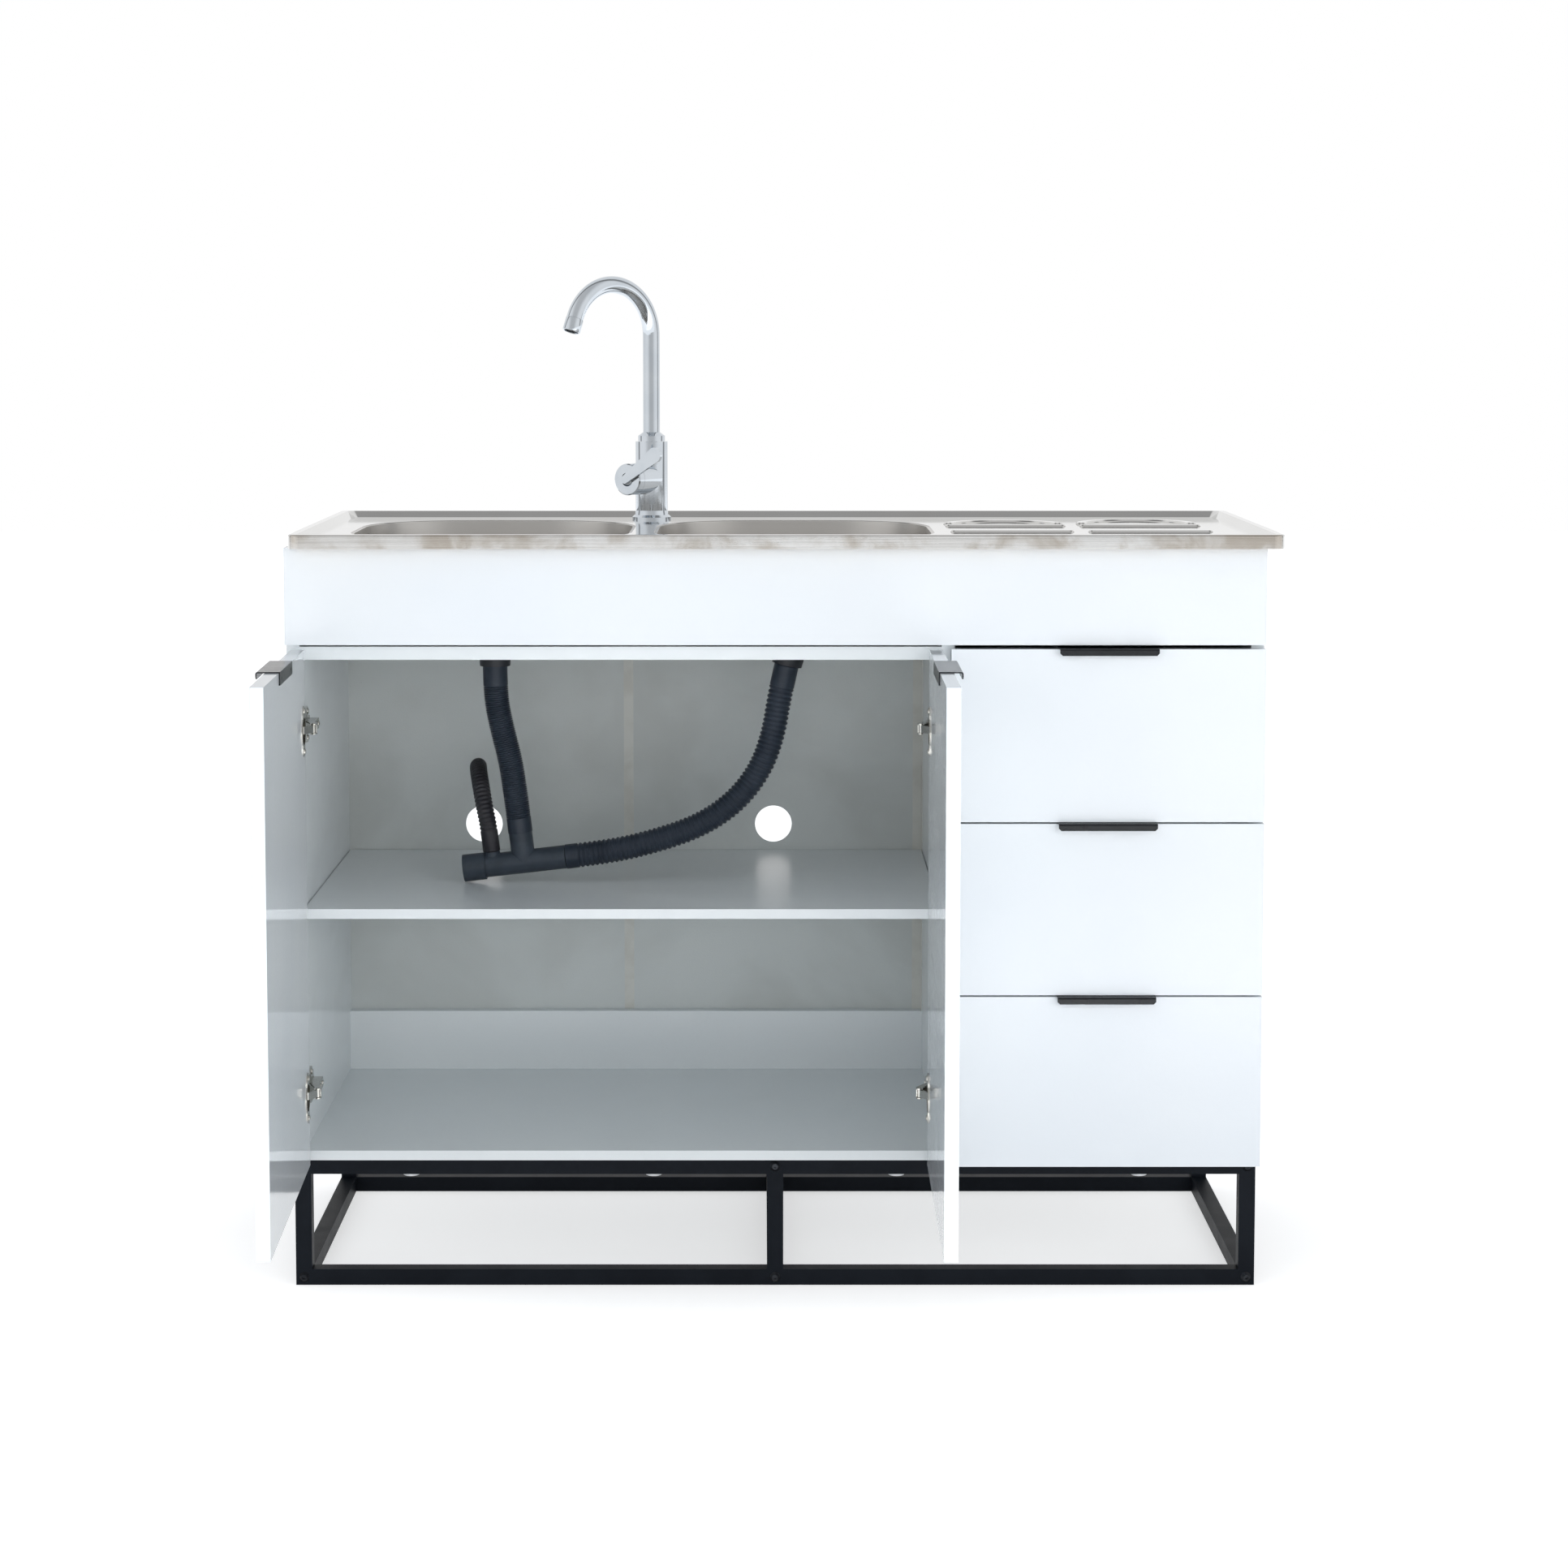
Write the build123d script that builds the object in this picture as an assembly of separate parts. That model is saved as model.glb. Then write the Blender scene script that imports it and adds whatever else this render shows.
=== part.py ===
"""Kitchen sink unit: a two-door, three-drawer cabinet on a square-tube frame, with a
double-bowl sink top, a swivel mixer tap and the waste pipes under the bowls.

Millimetres, X to the right, Y to the back, Z up. The origin is on the floor, at the
middle of the frame's footprint. The doors are built shut and swung to their rest angle.
"""

from build123d import *

import math
import os

# ---- Cabinet boards -------------------------------------------------------------------
CABINET_WIDTH = 1188.0
CABINET_HEIGHT = 757.0
BOARD = 16.0
THIN_BOARD = 12.0
PANEL = 3.2
PARTITION_OFFSET = 804.0
BACK_VOID = 12.8
RAIL_HEIGHT = 80.0
UPPER_RAIL_DROP = 87.0
SHELF_RISE = 300.4
SHELF_SIDE_GAP = 1.2
SHELF_SETBACK = 2.0
SHELF_PIN_RADIUS = 2.5
SHELF_PIN_HOLD = 8.0
SHELF_PIN_YS = (-180.0, 150.0)
STRETCHER_DEPTH = 100.0
STRETCHER_DROP = 121.6
FALSE_FRONT_HEIGHT = 118.0
BACK_SPLIT_OFFSET = 396.5
BACK_SPLIT_GAP = 1.4
STRIP_WIDTH = 13.0
STRIP_SHEET = 1.0
PIPE_HOLE_RADIUS = 25.0
PIPE_HOLE_OFFSETS = (199.3, 593.3)
PIPE_HOLE_RISE = 347.5

# ---- Frame ----------------------------------------------------------------------------
TUBE = 20.0
FRAME_HEIGHT = 160.0
FRAME_DEPTH = 440.0
FRAME_SIDE_INSET = 1.0
FRAME_FRONT_SETBACK = 10.0
FRAME_BACK_SETBACK = 8.0
BOLT_RADIUS = 3.0
BOLT_HOLE_PLAY = 0.2
BOLT_BITE = 14.0
BOLT_HEAD_RADIUS = 6.5
BOLT_HEAD_HEIGHT = 3.5
BOLT_SOCKET = 4.0
BOLT_SOCKET_DEPTH = 2.0
CAP_RADIUS = 10.0
CAP_HEIGHT = 3.0
CAP_XS = (-450.0, -150.0, 150.0, 450.0)

# ---- Fronts ---------------------------------------------------------------------------
FRONT_BOARD = 16.0
BUMPER_GAP = 2.0
FRONT_DROP = 3.0
DRAWER_DROP = 3.3
FRONT_GAP = 2.0
DRAWER_GAP = 2.2
DRAWER_SIDE_GAP = 3.0
DRAWER_FRONT_HEIGHT = 211.0
DOOR_TOP_GAP = 6.0

# ---- Edge handles ---------------------------------------------------------------------
HANDLE_LENGTH = 120.0
HANDLE_SHEET = 1.5
HANDLE_REACH = 10.5
HANDLE_LIP = 7.0
HANDLE_FLANGE = 14.0
HANDLE_CHAMFER = 3.0
HANDLE_BEND = 2.4
HANDLE_SCREW_RADIUS = 2.0
HANDLE_SCREW_INSET = 14.0

# ---- Cup hinges: plan sizes from the door's hinge edge (U) and the carcass edge (V) ---
HINGE_RISES = (86.0, 536.0)
CUP_RADIUS = 17.4
CUP_WALL = 0.9
CUP_DEPTH = 12.3
CUP_EDGE = 22.5
CUP_HOLE_PLAY = 0.2
CUP_FLANGE = 1.2
CUP_FLANGE_LENGTH = 62.0
CUP_FLANGE_WIDTH = 22.0
CUP_RIM_RADIUS = 19.0
PIVOT_U = 7.5
PIVOT_V = 18.0
ARM_PIN_U = 33.0
ARM_PIN_V = 8.0
CUP_PIN_U = 13.0
CUP_PIN_V = 3.0
ARM_HEIGHT = 13.0
ARM_SHEET = 1.5
ARM_NOSE_RADIUS = 4.2
ARM_LENGTH = 52.0
ARM_WIDTH = 12.0
PLATE_SHEET = 3.2
PLATE_LENGTH = 50.0
PLATE_SETBACK = 8.0
PLATE_HEIGHT = 18.0
PLATE_WING = 44.0
PLATE_WING_WIDTH = 12.0
PIN_RADIUS = 1.5
PIN_PLAY = 0.05
PIN_HEAD = 0.5
LINK_HEIGHT = 9.0
LINK_HALF = 1.6
LINK_EYE_RADIUS = 2.5
LEFT_DOOR_ANGLE = 88.0
RIGHT_DOOR_ANGLE = 89.6

# ---- Drawers --------------------------------------------------------------------------
DRAWER_BACK_GAP = 28.0
DRAWER_BOARD = 12.0
DRAWER_BOX_HEIGHT = 140.0
DRAWER_BOX_RISE = 24.0
RUNNER_GAP = 12.7
RUNNER_SHEET = 1.2
RUNNER_SETBACK = 10.0
RUNNER_FOOT = 12.0
RUNNER_PLAY = 0.3
ROLLER_RADIUS = 9.4
ROLLER_INSET = 12.0

# ---- Sink top -------------------------------------------------------------------------
SINK_OVERHANG_X = 12.0
SINK_OVERHANG_Y = 60.0
SINK_X = 13.0
SINK_Y = -18.0
SHEET = 1.0
SKIRT = 17.0
RIM = 10.0
RIM_SLOPE = 11.0
DECK_DROP = 8.0
SINK_CORNER = 14.0
BOWL_OFFSETS = (239.0, 618.0)
BOWL_SHIFT_Y = -20.0
BOWL_WIDTH = 344.0
BOWL_END_LAND = 69.0
BOWL_CORNER = 125.0
BOWL_LIP = 4.0
BOWL_FLANGE = 5.0
BOWL_DEPTH = 125.0
BOWL_TAPER = 8.0
BOWL_FLOOR_RADIUS = 28.0
FRONT_BATTEN_WIDTH = 34.0
REAR_BATTEN_WIDTH = 25.0
LEFT_BATTEN = (11.0, 34.0)
MIDDLE_BATTEN = (-4.0, 23.0)
RIGHT_BATTEN = (-20.0, 15.0)
BATTEN_END_INSET = 4.0
RIDGE_SHARES = ((0.0606, 0.4545), (0.4975, 0.894))
RIDGE_OFFSETS_Y = (-178.0, -74.0, 38.0)
RIDGE_ARCH_RISES = (95.0, 112.0)
RIDGE_WIDTH = 14.0
RIDGE_HEIGHT = 2.4
RIDGE_SLOPE = 1.9

# ---- Wastes ---------------------------------------------------------------------------
WASTE_SHIFTS = (-2.0, 2.0)
WASTE_LEANS = (0.0, 13.0)
WASTE_FLANGE_RADIUS = 36.0
WASTE_FLANGE = 1.2
WASTE_CUP_RADIUS = 31.5
WASTE_CUP_DEPTH = 15.0
WASTE_WALL = 1.5
WASTE_HOLE_PLAY = 0.5
TAIL_RADIUS = 14.0
TAIL_WALL = 2.0
TAIL_TOP = 2.0
TAIL_DROP = 49.4
BACKNUT_RADIUS = 41.0
BACKNUT_HEIGHT = 10.0
NUT_PLAY = 0.25
UNION_RADIUS = 20.3
UNION_HEIGHT = 23.0
BASKET_PLAY = 0.6
BASKET_RIM = 33.0
BASKET_SHEET = 1.0
BASKET_DEPTH = 11.0
BASKET_KNOB_RADIUS = 6.0
BASKET_KNOB_HEIGHT = 20.0

# ---- Waste pipes ----------------------------------------------------------------------
SEAT_GAP = 0.3
SOCKET_RADIUS = 17.4
SOCKET_LENGTH = 28.4
SOCKET_BORE = 15.4
SOCKET_BORE_DEPTH = 25.0
COLLECTOR_RADIUS = 15.0
COLLECTOR_BORE = 12.6
COLLECTOR_LENGTH = 131.5
COLLECTOR_OFFSET = 195.0
COLLECTOR_SLOPE = 6.5
SPIGOT_RADIUS = 12.8
SPIGOT_BORE = 11.3
SPIGOT_LENGTH = 15.5
BRANCH_RADIUS = 15.0
BRANCH_BORE = 12.8
BRANCH_ALONG = 77.8
BRANCH_HEIGHT = 50.0
BRANCH_HOLD = 12.0
STUB_COLLAR = 10.4
STUB_RADIUS = 8.5
STUB_BORE = 7.0
STUB_ALONG = 38.2
STUB_COLLAR_HEIGHT = 17.8
STUB_HEIGHT = 27.0
HOSE_RADIUS = 16.0
HOSE_ROOT = 14.4
HOSE_CUFF_RADIUS = 15.7
LEFT_HOSE_BORE = 11.0
LEFT_HOSE_CUFFS = (25.0, 19.0)
LEFT_HOSE_NECK = (BRANCH_HOLD, 12.5)
LEFT_HOSE_RIBS = 28
RIGHT_HOSE_BORE = 13.0
RIGHT_HOSE_CUFFS = (29.0, 17.0)
RIGHT_HOSE_RIBS = 44
SMALL_HOSE_RADIUS = 11.3
SMALL_HOSE_ROOT = 10.2
SMALL_HOSE_BORE = 8.7
SMALL_HOSE_CUFFS = (27.0, 10.0)
SMALL_HOSE_RIBS = 12

# ---- Mixer tap ------------------------------------------------------------------------
TAP_OFFSET = 430.0
TAP_INSET = 55.0
TAP_BASE_RADIUS = 26.0
TAP_BASE_HEIGHT = 6.0
TAP_RADIUS = 21.5
HOUSING_RADIUS = 21.0
TAP_BODY_HEIGHT = 104.0
TAP_JOINT_PLAY = 0.3
TAP_SPIGOT_RADIUS = 8.0
TAP_SPIGOT_HEIGHT = 18.0
TAP_SPIGOT_PLAY = 0.06
SPOUT_RADIUS = 11.25
SPOUT_COLLAR_RADIUS = 18.0
SPOUT_COLLAR_HEIGHT = 12.0
SPOUT_RISE = 245.0
SPOUT_BEND = 67.0
SPOUT_SWEEP = 160.0
SPOUT_NOSE = 18.0
SPOUT_WALL = 1.6
SPOUT_TURN = 222.0
CARTRIDGE_TURN = 237.0
CARTRIDGE_RISE = 55.0
CARTRIDGE_REACH = 45.0
CAP_LENGTH = 11.7
CAP_FACE = 2.0
CAP_EDGE = 1.5
CAP_CAVITY = 14.0
CAP_HOLE = 9.0
LEVER_BALL_RADIUS = 6.0
LEVER_STEM_RADIUS = 5.0
LEVER_STANDOFF = 7.2
LEVER_LENGTH = 74.0
LEVER_WIDTH = 20.0
LEVER_ROOT_WIDTH = 10.6
LEVER_SHEET = 5.0
LEVER_ANGLE = 35.0
SHANK_RADIUS = 16.0
SHANK_LENGTH = 46.0
SHANK_NUT_RADIUS = 23.0
SHANK_NUT_HEIGHT = 8.0
SHANK_WASHER_RADIUS = 24.0
SHANK_WASHER = 3.0
SHANK_HOLE_PLAY = 1.0
INLET_RADIUS = 5.0
INLET_DEPTH = 12.0
INLET_OFFSET = 8.0

# ---- Places worked out from the sizes above -------------------------------------------
HALF_WIDTH = CABINET_WIDTH / 2
LEFT_X = -HALF_WIDTH
PARTITION_X = LEFT_X + PARTITION_OFFSET
BACK_SPLIT_X = LEFT_X + BACK_SPLIT_OFFSET
PIPE_HOLE_XS = tuple(LEFT_X + offset for offset in PIPE_HOLE_OFFSETS)
FRAME_FRONT_Y = -FRAME_DEPTH / 2
FRAME_BACK_Y = FRAME_DEPTH / 2
FRONT_EDGE_Y = FRAME_FRONT_Y - FRAME_FRONT_SETBACK
BACK_EDGE_Y = FRAME_BACK_Y + FRAME_BACK_SETBACK
BASE_Z = FRAME_HEIGHT
TOP_Z = BASE_Z + CABINET_HEIGHT
FLOOR_Z = BASE_Z + THIN_BOARD
PANEL_BACK_Y = BACK_EDGE_Y - BACK_VOID
PANEL_FRONT_Y = PANEL_BACK_Y - PANEL
RAIL_FRONT_Y = PANEL_FRONT_Y - BOARD
INNER_LEFT_X = -HALF_WIDTH + BOARD
INNER_RIGHT_X = HALF_WIDTH - BOARD
PARTITION_LEFT_X = PARTITION_X - BOARD / 2
PARTITION_RIGHT_X = PARTITION_X + BOARD / 2
SHELF_Z = FLOOR_Z + SHELF_RISE
UPPER_RAIL_Z = TOP_Z - UPPER_RAIL_DROP
FRONT_BACK_Y = FRONT_EDGE_Y - BUMPER_GAP
FRONT_FACE_Y = FRONT_BACK_Y - FRONT_BOARD
DRAWER_LENGTH = RAIL_FRONT_Y - DRAWER_BACK_GAP - FRONT_BACK_Y
RUNNER_LENGTH = DRAWER_LENGTH - RUNNER_SETBACK
FRONT_BASE_Z = BASE_Z - FRONT_DROP
FALSE_FRONT_Z = TOP_Z - FALSE_FRONT_HEIGHT
DOOR_TOP_Z = FALSE_FRONT_Z - DOOR_TOP_GAP
DOOR_WIDTH = (PARTITION_X + HALF_WIDTH - FRONT_GAP) / 2
HINGE_ZS = tuple(BASE_Z + rise for rise in HINGE_RISES)
ARM_BENDS = {BOARD: 14.0, BOARD / 2: 19.5}
DRAWER_PITCH = DRAWER_FRONT_HEIGHT + DRAWER_GAP
DRAWER_NAMES = ("bottom", "middle", "top")
SINK_WIDTH = CABINET_WIDTH + SINK_OVERHANG_X
SINK_DEPTH = FRAME_DEPTH + SINK_OVERHANG_Y
SINK_RIGHT_X = SINK_X + SINK_WIDTH / 2
SINK_BACK_Y = SINK_Y + SINK_DEPTH / 2
BOWL_XS = tuple(LEFT_X + offset for offset in BOWL_OFFSETS)
BOWL_Y = SINK_Y + BOWL_SHIFT_Y
BOWL_LENGTH = SINK_DEPTH - 2 * BOWL_END_LAND
DRAINER_X = BOWL_XS[1] + BOWL_WIDTH / 2
DRAINER_WIDTH = SINK_RIGHT_X - RIM - RIM_SLOPE - DRAINER_X
RIDGE_YS = tuple(SINK_Y + offset for offset in RIDGE_OFFSETS_Y)
WASTE_XS = tuple(x + shift for x, shift in zip(BOWL_XS, WASTE_SHIFTS))
COLLECTOR_X = LEFT_X + COLLECTOR_OFFSET
TAP_X = LEFT_X + TAP_OFFSET
TAP_Y = SINK_BACK_Y - TAP_INSET
RIM_Z = TOP_Z + SKIRT
DECK_Z = RIM_Z - DECK_DROP
BOWL_TOP_Z = DECK_Z - SHEET
BOWL_FLOOR_Z = DECK_Z - BOWL_DEPTH
BOLT_XS = (-HALF_WIDTH + FRAME_SIDE_INSET + TUBE / 2, 0.0, HALF_WIDTH - FRAME_SIDE_INSET - TUBE / 2)
BOLT_ZS = (TUBE / 2, FRAME_HEIGHT - TUBE / 2)
COLLECTOR_Z = SHELF_Z + SOCKET_RADIUS * math.cos(math.radians(COLLECTOR_SLOPE)) + SEAT_GAP


# ---- Small helpers --------------------------------------------------------------------
def board(xs, ys, zs):
    """A square-edged board between two X, two Y and two Z faces."""
    place = Pos(sum(xs) / 2, sum(ys) / 2, sum(zs) / 2)
    return place * Box(xs[1] - xs[0], ys[1] - ys[0], zs[1] - zs[0])


def along_y(x, y, z, radius, length):
    """A round bar that starts at a point and runs towards +Y."""
    return Pos(x, y + length / 2, z) * Rot(90, 0, 0) * Cylinder(radius, length)


def along_x(x, y, z, radius, length):
    """A round bar that starts at a point and runs towards +X."""
    return Pos(x + length / 2, y, z) * Rot(0, 90, 0) * Cylinder(radius, length)


def upright(x, y, z, radius, height):
    """A round bar that stands on a point."""
    return Pos(x, y, z + height / 2) * Cylinder(radius, height)


def turned(points):
    """A solid of revolution about Z from its half section of (radius, height) points."""
    section = make_face(Polyline([(r, 0, z) for r, z in points], close=True))
    return revolve(section, Axis.Z)


def group(pieces):
    """Separate solids that share one file."""
    return Compound(children=[solid for piece in pieces for solid in piece.solids()])


def save(name, shape):
    """Writes one sub-part under its node's name."""
    export_step(shape, os.path.join("parts", name + ".step"))


# ---- Frame ----------------------------------------------------------------------------
def end_frame(y):
    """A welded ladder of square tube: two rails and three legs, drilled for its bolts."""
    half = HALF_WIDTH - FRAME_SIDE_INSET
    ys = (y, y + TUBE)
    frame = board((-half, half), ys, (0, TUBE))
    frame += board((-half, half), ys, (FRAME_HEIGHT - TUBE, FRAME_HEIGHT))
    for x in BOLT_XS:
        frame += board((x - TUBE / 2, x + TUBE / 2), ys, (0, FRAME_HEIGHT))
    for x in BOLT_XS:
        for z in BOLT_ZS:
            frame -= along_y(x, y, z, BOLT_RADIUS + BOLT_HOLE_PLAY, TUBE)
    return frame


def cross_rails():
    """Six rails between the end frames, threaded at both ends."""
    front = FRAME_FRONT_Y + TUBE
    back = FRAME_BACK_Y - TUBE
    rails = []
    for x in BOLT_XS:
        for z in BOLT_ZS:
            rail = board((x - TUBE / 2, x + TUBE / 2), (front, back), (z - TUBE / 2, z + TUBE / 2))
            rail -= along_y(x, front, z, BOLT_RADIUS + BOLT_HOLE_PLAY, BOLT_BITE + 1)
            rail -= along_y(x, back - BOLT_BITE - 1, z, BOLT_RADIUS + BOLT_HOLE_PLAY, BOLT_BITE + 1)
            rails.append(rail)
    return group(rails)


def frame_bolt():
    """A button-head bolt with a hexagon socket, head at the origin, shank along +Z."""
    top = BOLT_HEAD_RADIUS * 0.55
    head = turned([(0, 0), (BOLT_HEAD_RADIUS, 0), (top, -BOLT_HEAD_HEIGHT), (0, -BOLT_HEAD_HEIGHT)])
    socket = RegularPolygon(BOLT_SOCKET / 2, 6, major_radius=False)
    head -= Pos(0, 0, -BOLT_HEAD_HEIGHT) * extrude(socket, BOLT_SOCKET_DEPTH)
    return head + Pos(0, 0, (TUBE + BOLT_BITE) / 2) * Cylinder(BOLT_RADIUS, TUBE + BOLT_BITE)


def frame_bolts():
    """Twelve bolts, six from the front and six from the back."""
    bolt = frame_bolt()
    bolts = []
    for x in BOLT_XS:
        for z in BOLT_ZS:
            bolts.append(Pos(x, FRAME_FRONT_Y, z) * Rot(-90, 0, 0) * bolt)
            bolts.append(Pos(x, FRAME_BACK_Y, z) * Rot(90, 0, 0) * bolt)
    return group(bolts)


def screw_caps():
    """White caps under the top rails, over the screws that hold the carcass."""
    cap_z = FRAME_HEIGHT - TUBE - CAP_HEIGHT
    caps = []
    for x in CAP_XS:
        for y in (FRAME_FRONT_Y + TUBE / 2, FRAME_BACK_Y - TUBE / 2):
            cap = upright(x, y, cap_z, CAP_RADIUS, CAP_HEIGHT)
            caps.append(fillet(cap.edges().sort_by(Axis.Z)[0], CAP_HEIGHT * 0.4))
    return group(caps)


# ---- Carcass --------------------------------------------------------------------------
def shelf_pin_places():
    """Where the pins leave the boards, just under the shelf."""
    z = SHELF_Z - THIN_BOARD - SHELF_PIN_RADIUS
    return [(x, y, z) for x in (INNER_LEFT_X, PARTITION_LEFT_X) for y in SHELF_PIN_YS]


def shelf_pins():
    """Four round pins, half in the wood and half under the shelf."""
    length = 2 * SHELF_PIN_HOLD
    return group(
        along_x(x - SHELF_PIN_HOLD, y, z, SHELF_PIN_RADIUS, length) for x, y, z in shelf_pin_places()
    )


def drill_for_pins(side):
    """Blind holes for the shelf pins, on whichever board they meet."""
    length = 2 * SHELF_PIN_HOLD
    for x, y, z in shelf_pin_places():
        side -= along_x(x - SHELF_PIN_HOLD, y, z, SHELF_PIN_RADIUS + PIN_PLAY, length)
    return side


def side_board(x):
    """A cabinet side, the full height of the carcass."""
    return board((x, x + BOARD), (FRONT_EDGE_Y, BACK_EDGE_Y), (BASE_Z, TOP_Z))


def partition():
    """The upright between the door bay and the drawer bay."""
    upright_board = board(
        (PARTITION_LEFT_X, PARTITION_RIGHT_X), (FRONT_EDGE_Y, PANEL_FRONT_Y), (FLOOR_Z, TOP_Z)
    )
    return drill_for_pins(upright_board)


def bottom_board():
    """The carcass floor, between the sides."""
    return board((INNER_LEFT_X, INNER_RIGHT_X), (FRONT_EDGE_Y, PANEL_FRONT_Y), (BASE_Z, FLOOR_Z))


def shelf():
    """The loose shelf of the door bay."""
    xs = (INNER_LEFT_X + SHELF_SIDE_GAP, PARTITION_LEFT_X - SHELF_SIDE_GAP)
    ys = (FRONT_EDGE_Y + SHELF_SETBACK, PANEL_FRONT_Y - SHELF_SETBACK)
    return board(xs, ys, (SHELF_Z - THIN_BOARD, SHELF_Z))


def front_stretcher():
    """The flat tie across the top of the door opening."""
    low = TOP_Z - STRETCHER_DROP - BOARD
    ys = (FRONT_EDGE_Y, FRONT_EDGE_Y + STRETCHER_DEPTH)
    return board((INNER_LEFT_X, PARTITION_LEFT_X), ys, (low, low + BOARD))


def bays():
    """The X range of the door bay and of the drawer bay."""
    return ((INNER_LEFT_X, PARTITION_LEFT_X), (PARTITION_RIGHT_X, INNER_RIGHT_X))


def carcass_rails():
    """A low and a high back rail in each bay, and the drawer bay's front rail."""
    ys = (RAIL_FRONT_Y, PANEL_FRONT_Y)
    rails = [board(bay, ys, (FLOOR_Z, FLOOR_Z + RAIL_HEIGHT)) for bay in bays()]
    rails += [board(bay, ys, (UPPER_RAIL_Z - RAIL_HEIGHT, UPPER_RAIL_Z)) for bay in bays()]
    front = (FRONT_EDGE_Y, FRONT_EDGE_Y + BOARD)
    rails.append(board(bays()[1], front, (TOP_Z - RAIL_HEIGHT, TOP_Z)))
    return group(rails)


def false_front():
    """The fixed board that hides the bowls, screwed to the carcass edges."""
    ys = (FRONT_EDGE_Y - FRONT_BOARD, FRONT_EDGE_Y)
    return board((-HALF_WIDTH, HALF_WIDTH), ys, (FALSE_FRONT_Z, TOP_Z))


def back_panel(xs, hole_x):
    """A thin back panel with its round pipe hole."""
    panel = board(xs, (PANEL_FRONT_Y, PANEL_BACK_Y), (BASE_Z, TOP_Z))
    return panel - along_y(hole_x, PANEL_FRONT_Y, BASE_Z + PIPE_HOLE_RISE, PIPE_HOLE_RADIUS, PANEL)


def back_strips():
    """The H-shaped strip over the panels' joint, and the L-shaped one in the corner."""
    zs = (FLOOR_Z + RAIL_HEIGHT, UPPER_RAIL_Z - RAIL_HEIGHT)
    joint = (BACK_SPLIT_X - STRIP_WIDTH / 2, BACK_SPLIT_X + STRIP_WIDTH / 2)
    web = (BACK_SPLIT_X - BACK_SPLIT_GAP / 2, BACK_SPLIT_X + BACK_SPLIT_GAP / 2)
    h_strip = board(joint, (PANEL_FRONT_Y - STRIP_SHEET, PANEL_FRONT_Y), zs)
    h_strip += board(web, (PANEL_FRONT_Y, PANEL_BACK_Y), zs)
    h_strip += board(joint, (PANEL_BACK_Y, PANEL_BACK_Y + STRIP_SHEET), zs)
    corner = (PARTITION_LEFT_X - STRIP_WIDTH, PARTITION_LEFT_X)
    edge = (PARTITION_LEFT_X - STRIP_SHEET, PARTITION_LEFT_X)
    l_strip = board(corner, (PANEL_FRONT_Y - STRIP_SHEET, PANEL_FRONT_Y), zs)
    l_strip += board(edge, (PANEL_FRONT_Y - STRIP_WIDTH, PANEL_FRONT_Y), zs)
    return group([h_strip, l_strip])


# ---- Handles --------------------------------------------------------------------------
def edge_handle(x, front_y, top_z):
    """A bent strip that hooks over a front's top edge, with a lip in front."""
    lip_y = front_y - HANDLE_REACH
    back_y = front_y + FRONT_BOARD
    section = [
        (lip_y, HANDLE_SHEET),
        (lip_y, -HANDLE_LIP),
        (lip_y + HANDLE_SHEET, -HANDLE_LIP),
        (lip_y + HANDLE_SHEET, 0),
        (back_y, 0),
        (back_y, -HANDLE_FLANGE),
        (back_y + HANDLE_SHEET, -HANDLE_FLANGE),
        (back_y + HANDLE_SHEET, HANDLE_SHEET),
    ]
    left = x - HANDLE_LENGTH / 2
    face = make_face(Polyline([(left, y, top_z + z) for y, z in section], close=True))
    handle = extrude(face, HANDLE_LENGTH, dir=(1, 0, 0))
    bends = [e for e in handle.edges().filter_by(Axis.X) if e.center().Y < lip_y + 2 * HANDLE_SHEET]
    handle = fillet([e for e in bends if e.center().Z > top_z + HANDLE_SHEET / 2], HANDLE_BEND)
    inner = [e for e in handle.edges().filter_by(Axis.X) if abs(e.center().Z - top_z) < 0.01]
    handle = fillet(sorted(inner, key=lambda e: e.center().Y)[0], HANDLE_BEND - HANDLE_SHEET)
    corners = handle.edges().filter_by(Axis.Y)
    lip_corners = [e for e in corners if abs(e.center().Z - top_z + HANDLE_LIP) < 0.01]
    handle = chamfer(lip_corners, HANDLE_CHAMFER)
    for side in (-1, 1):
        screw_x = x + side * (HANDLE_LENGTH / 2 - HANDLE_SCREW_INSET)
        handle -= along_y(screw_x, back_y, top_z - HANDLE_FLANGE / 2, HANDLE_SCREW_RADIUS, HANDLE_SHEET)
    return handle


# ---- Doors and their hinges -----------------------------------------------------------
def hinge_point(edge_x, side, u, v):
    """Plan X and Y of a point given from a shut door's hinge edge."""
    return edge_x + side * u, FRONT_EDGE_Y - v


def swing(shape, edge_x, side, angle):
    """Opens a shut door's pieces by an angle about the hinge's turning centre."""
    x, y = hinge_point(edge_x, side, PIVOT_U, PIVOT_V)
    return shape.rotate(Axis((x, y, 0), (0, 0, 1)), -side * angle)


def swung_point(edge_x, side, angle, u, v):
    """Where a point of the shut door stands once the door is open by an angle."""
    x, y = hinge_point(edge_x, side, u, v)
    pivot_x, pivot_y = hinge_point(edge_x, side, PIVOT_U, PIVOT_V)
    turn = math.radians(-side * angle)
    across, deep = x - pivot_x, y - pivot_y
    return (
        pivot_x + across * math.cos(turn) - deep * math.sin(turn),
        pivot_y + across * math.sin(turn) + deep * math.cos(turn),
    )


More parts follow.
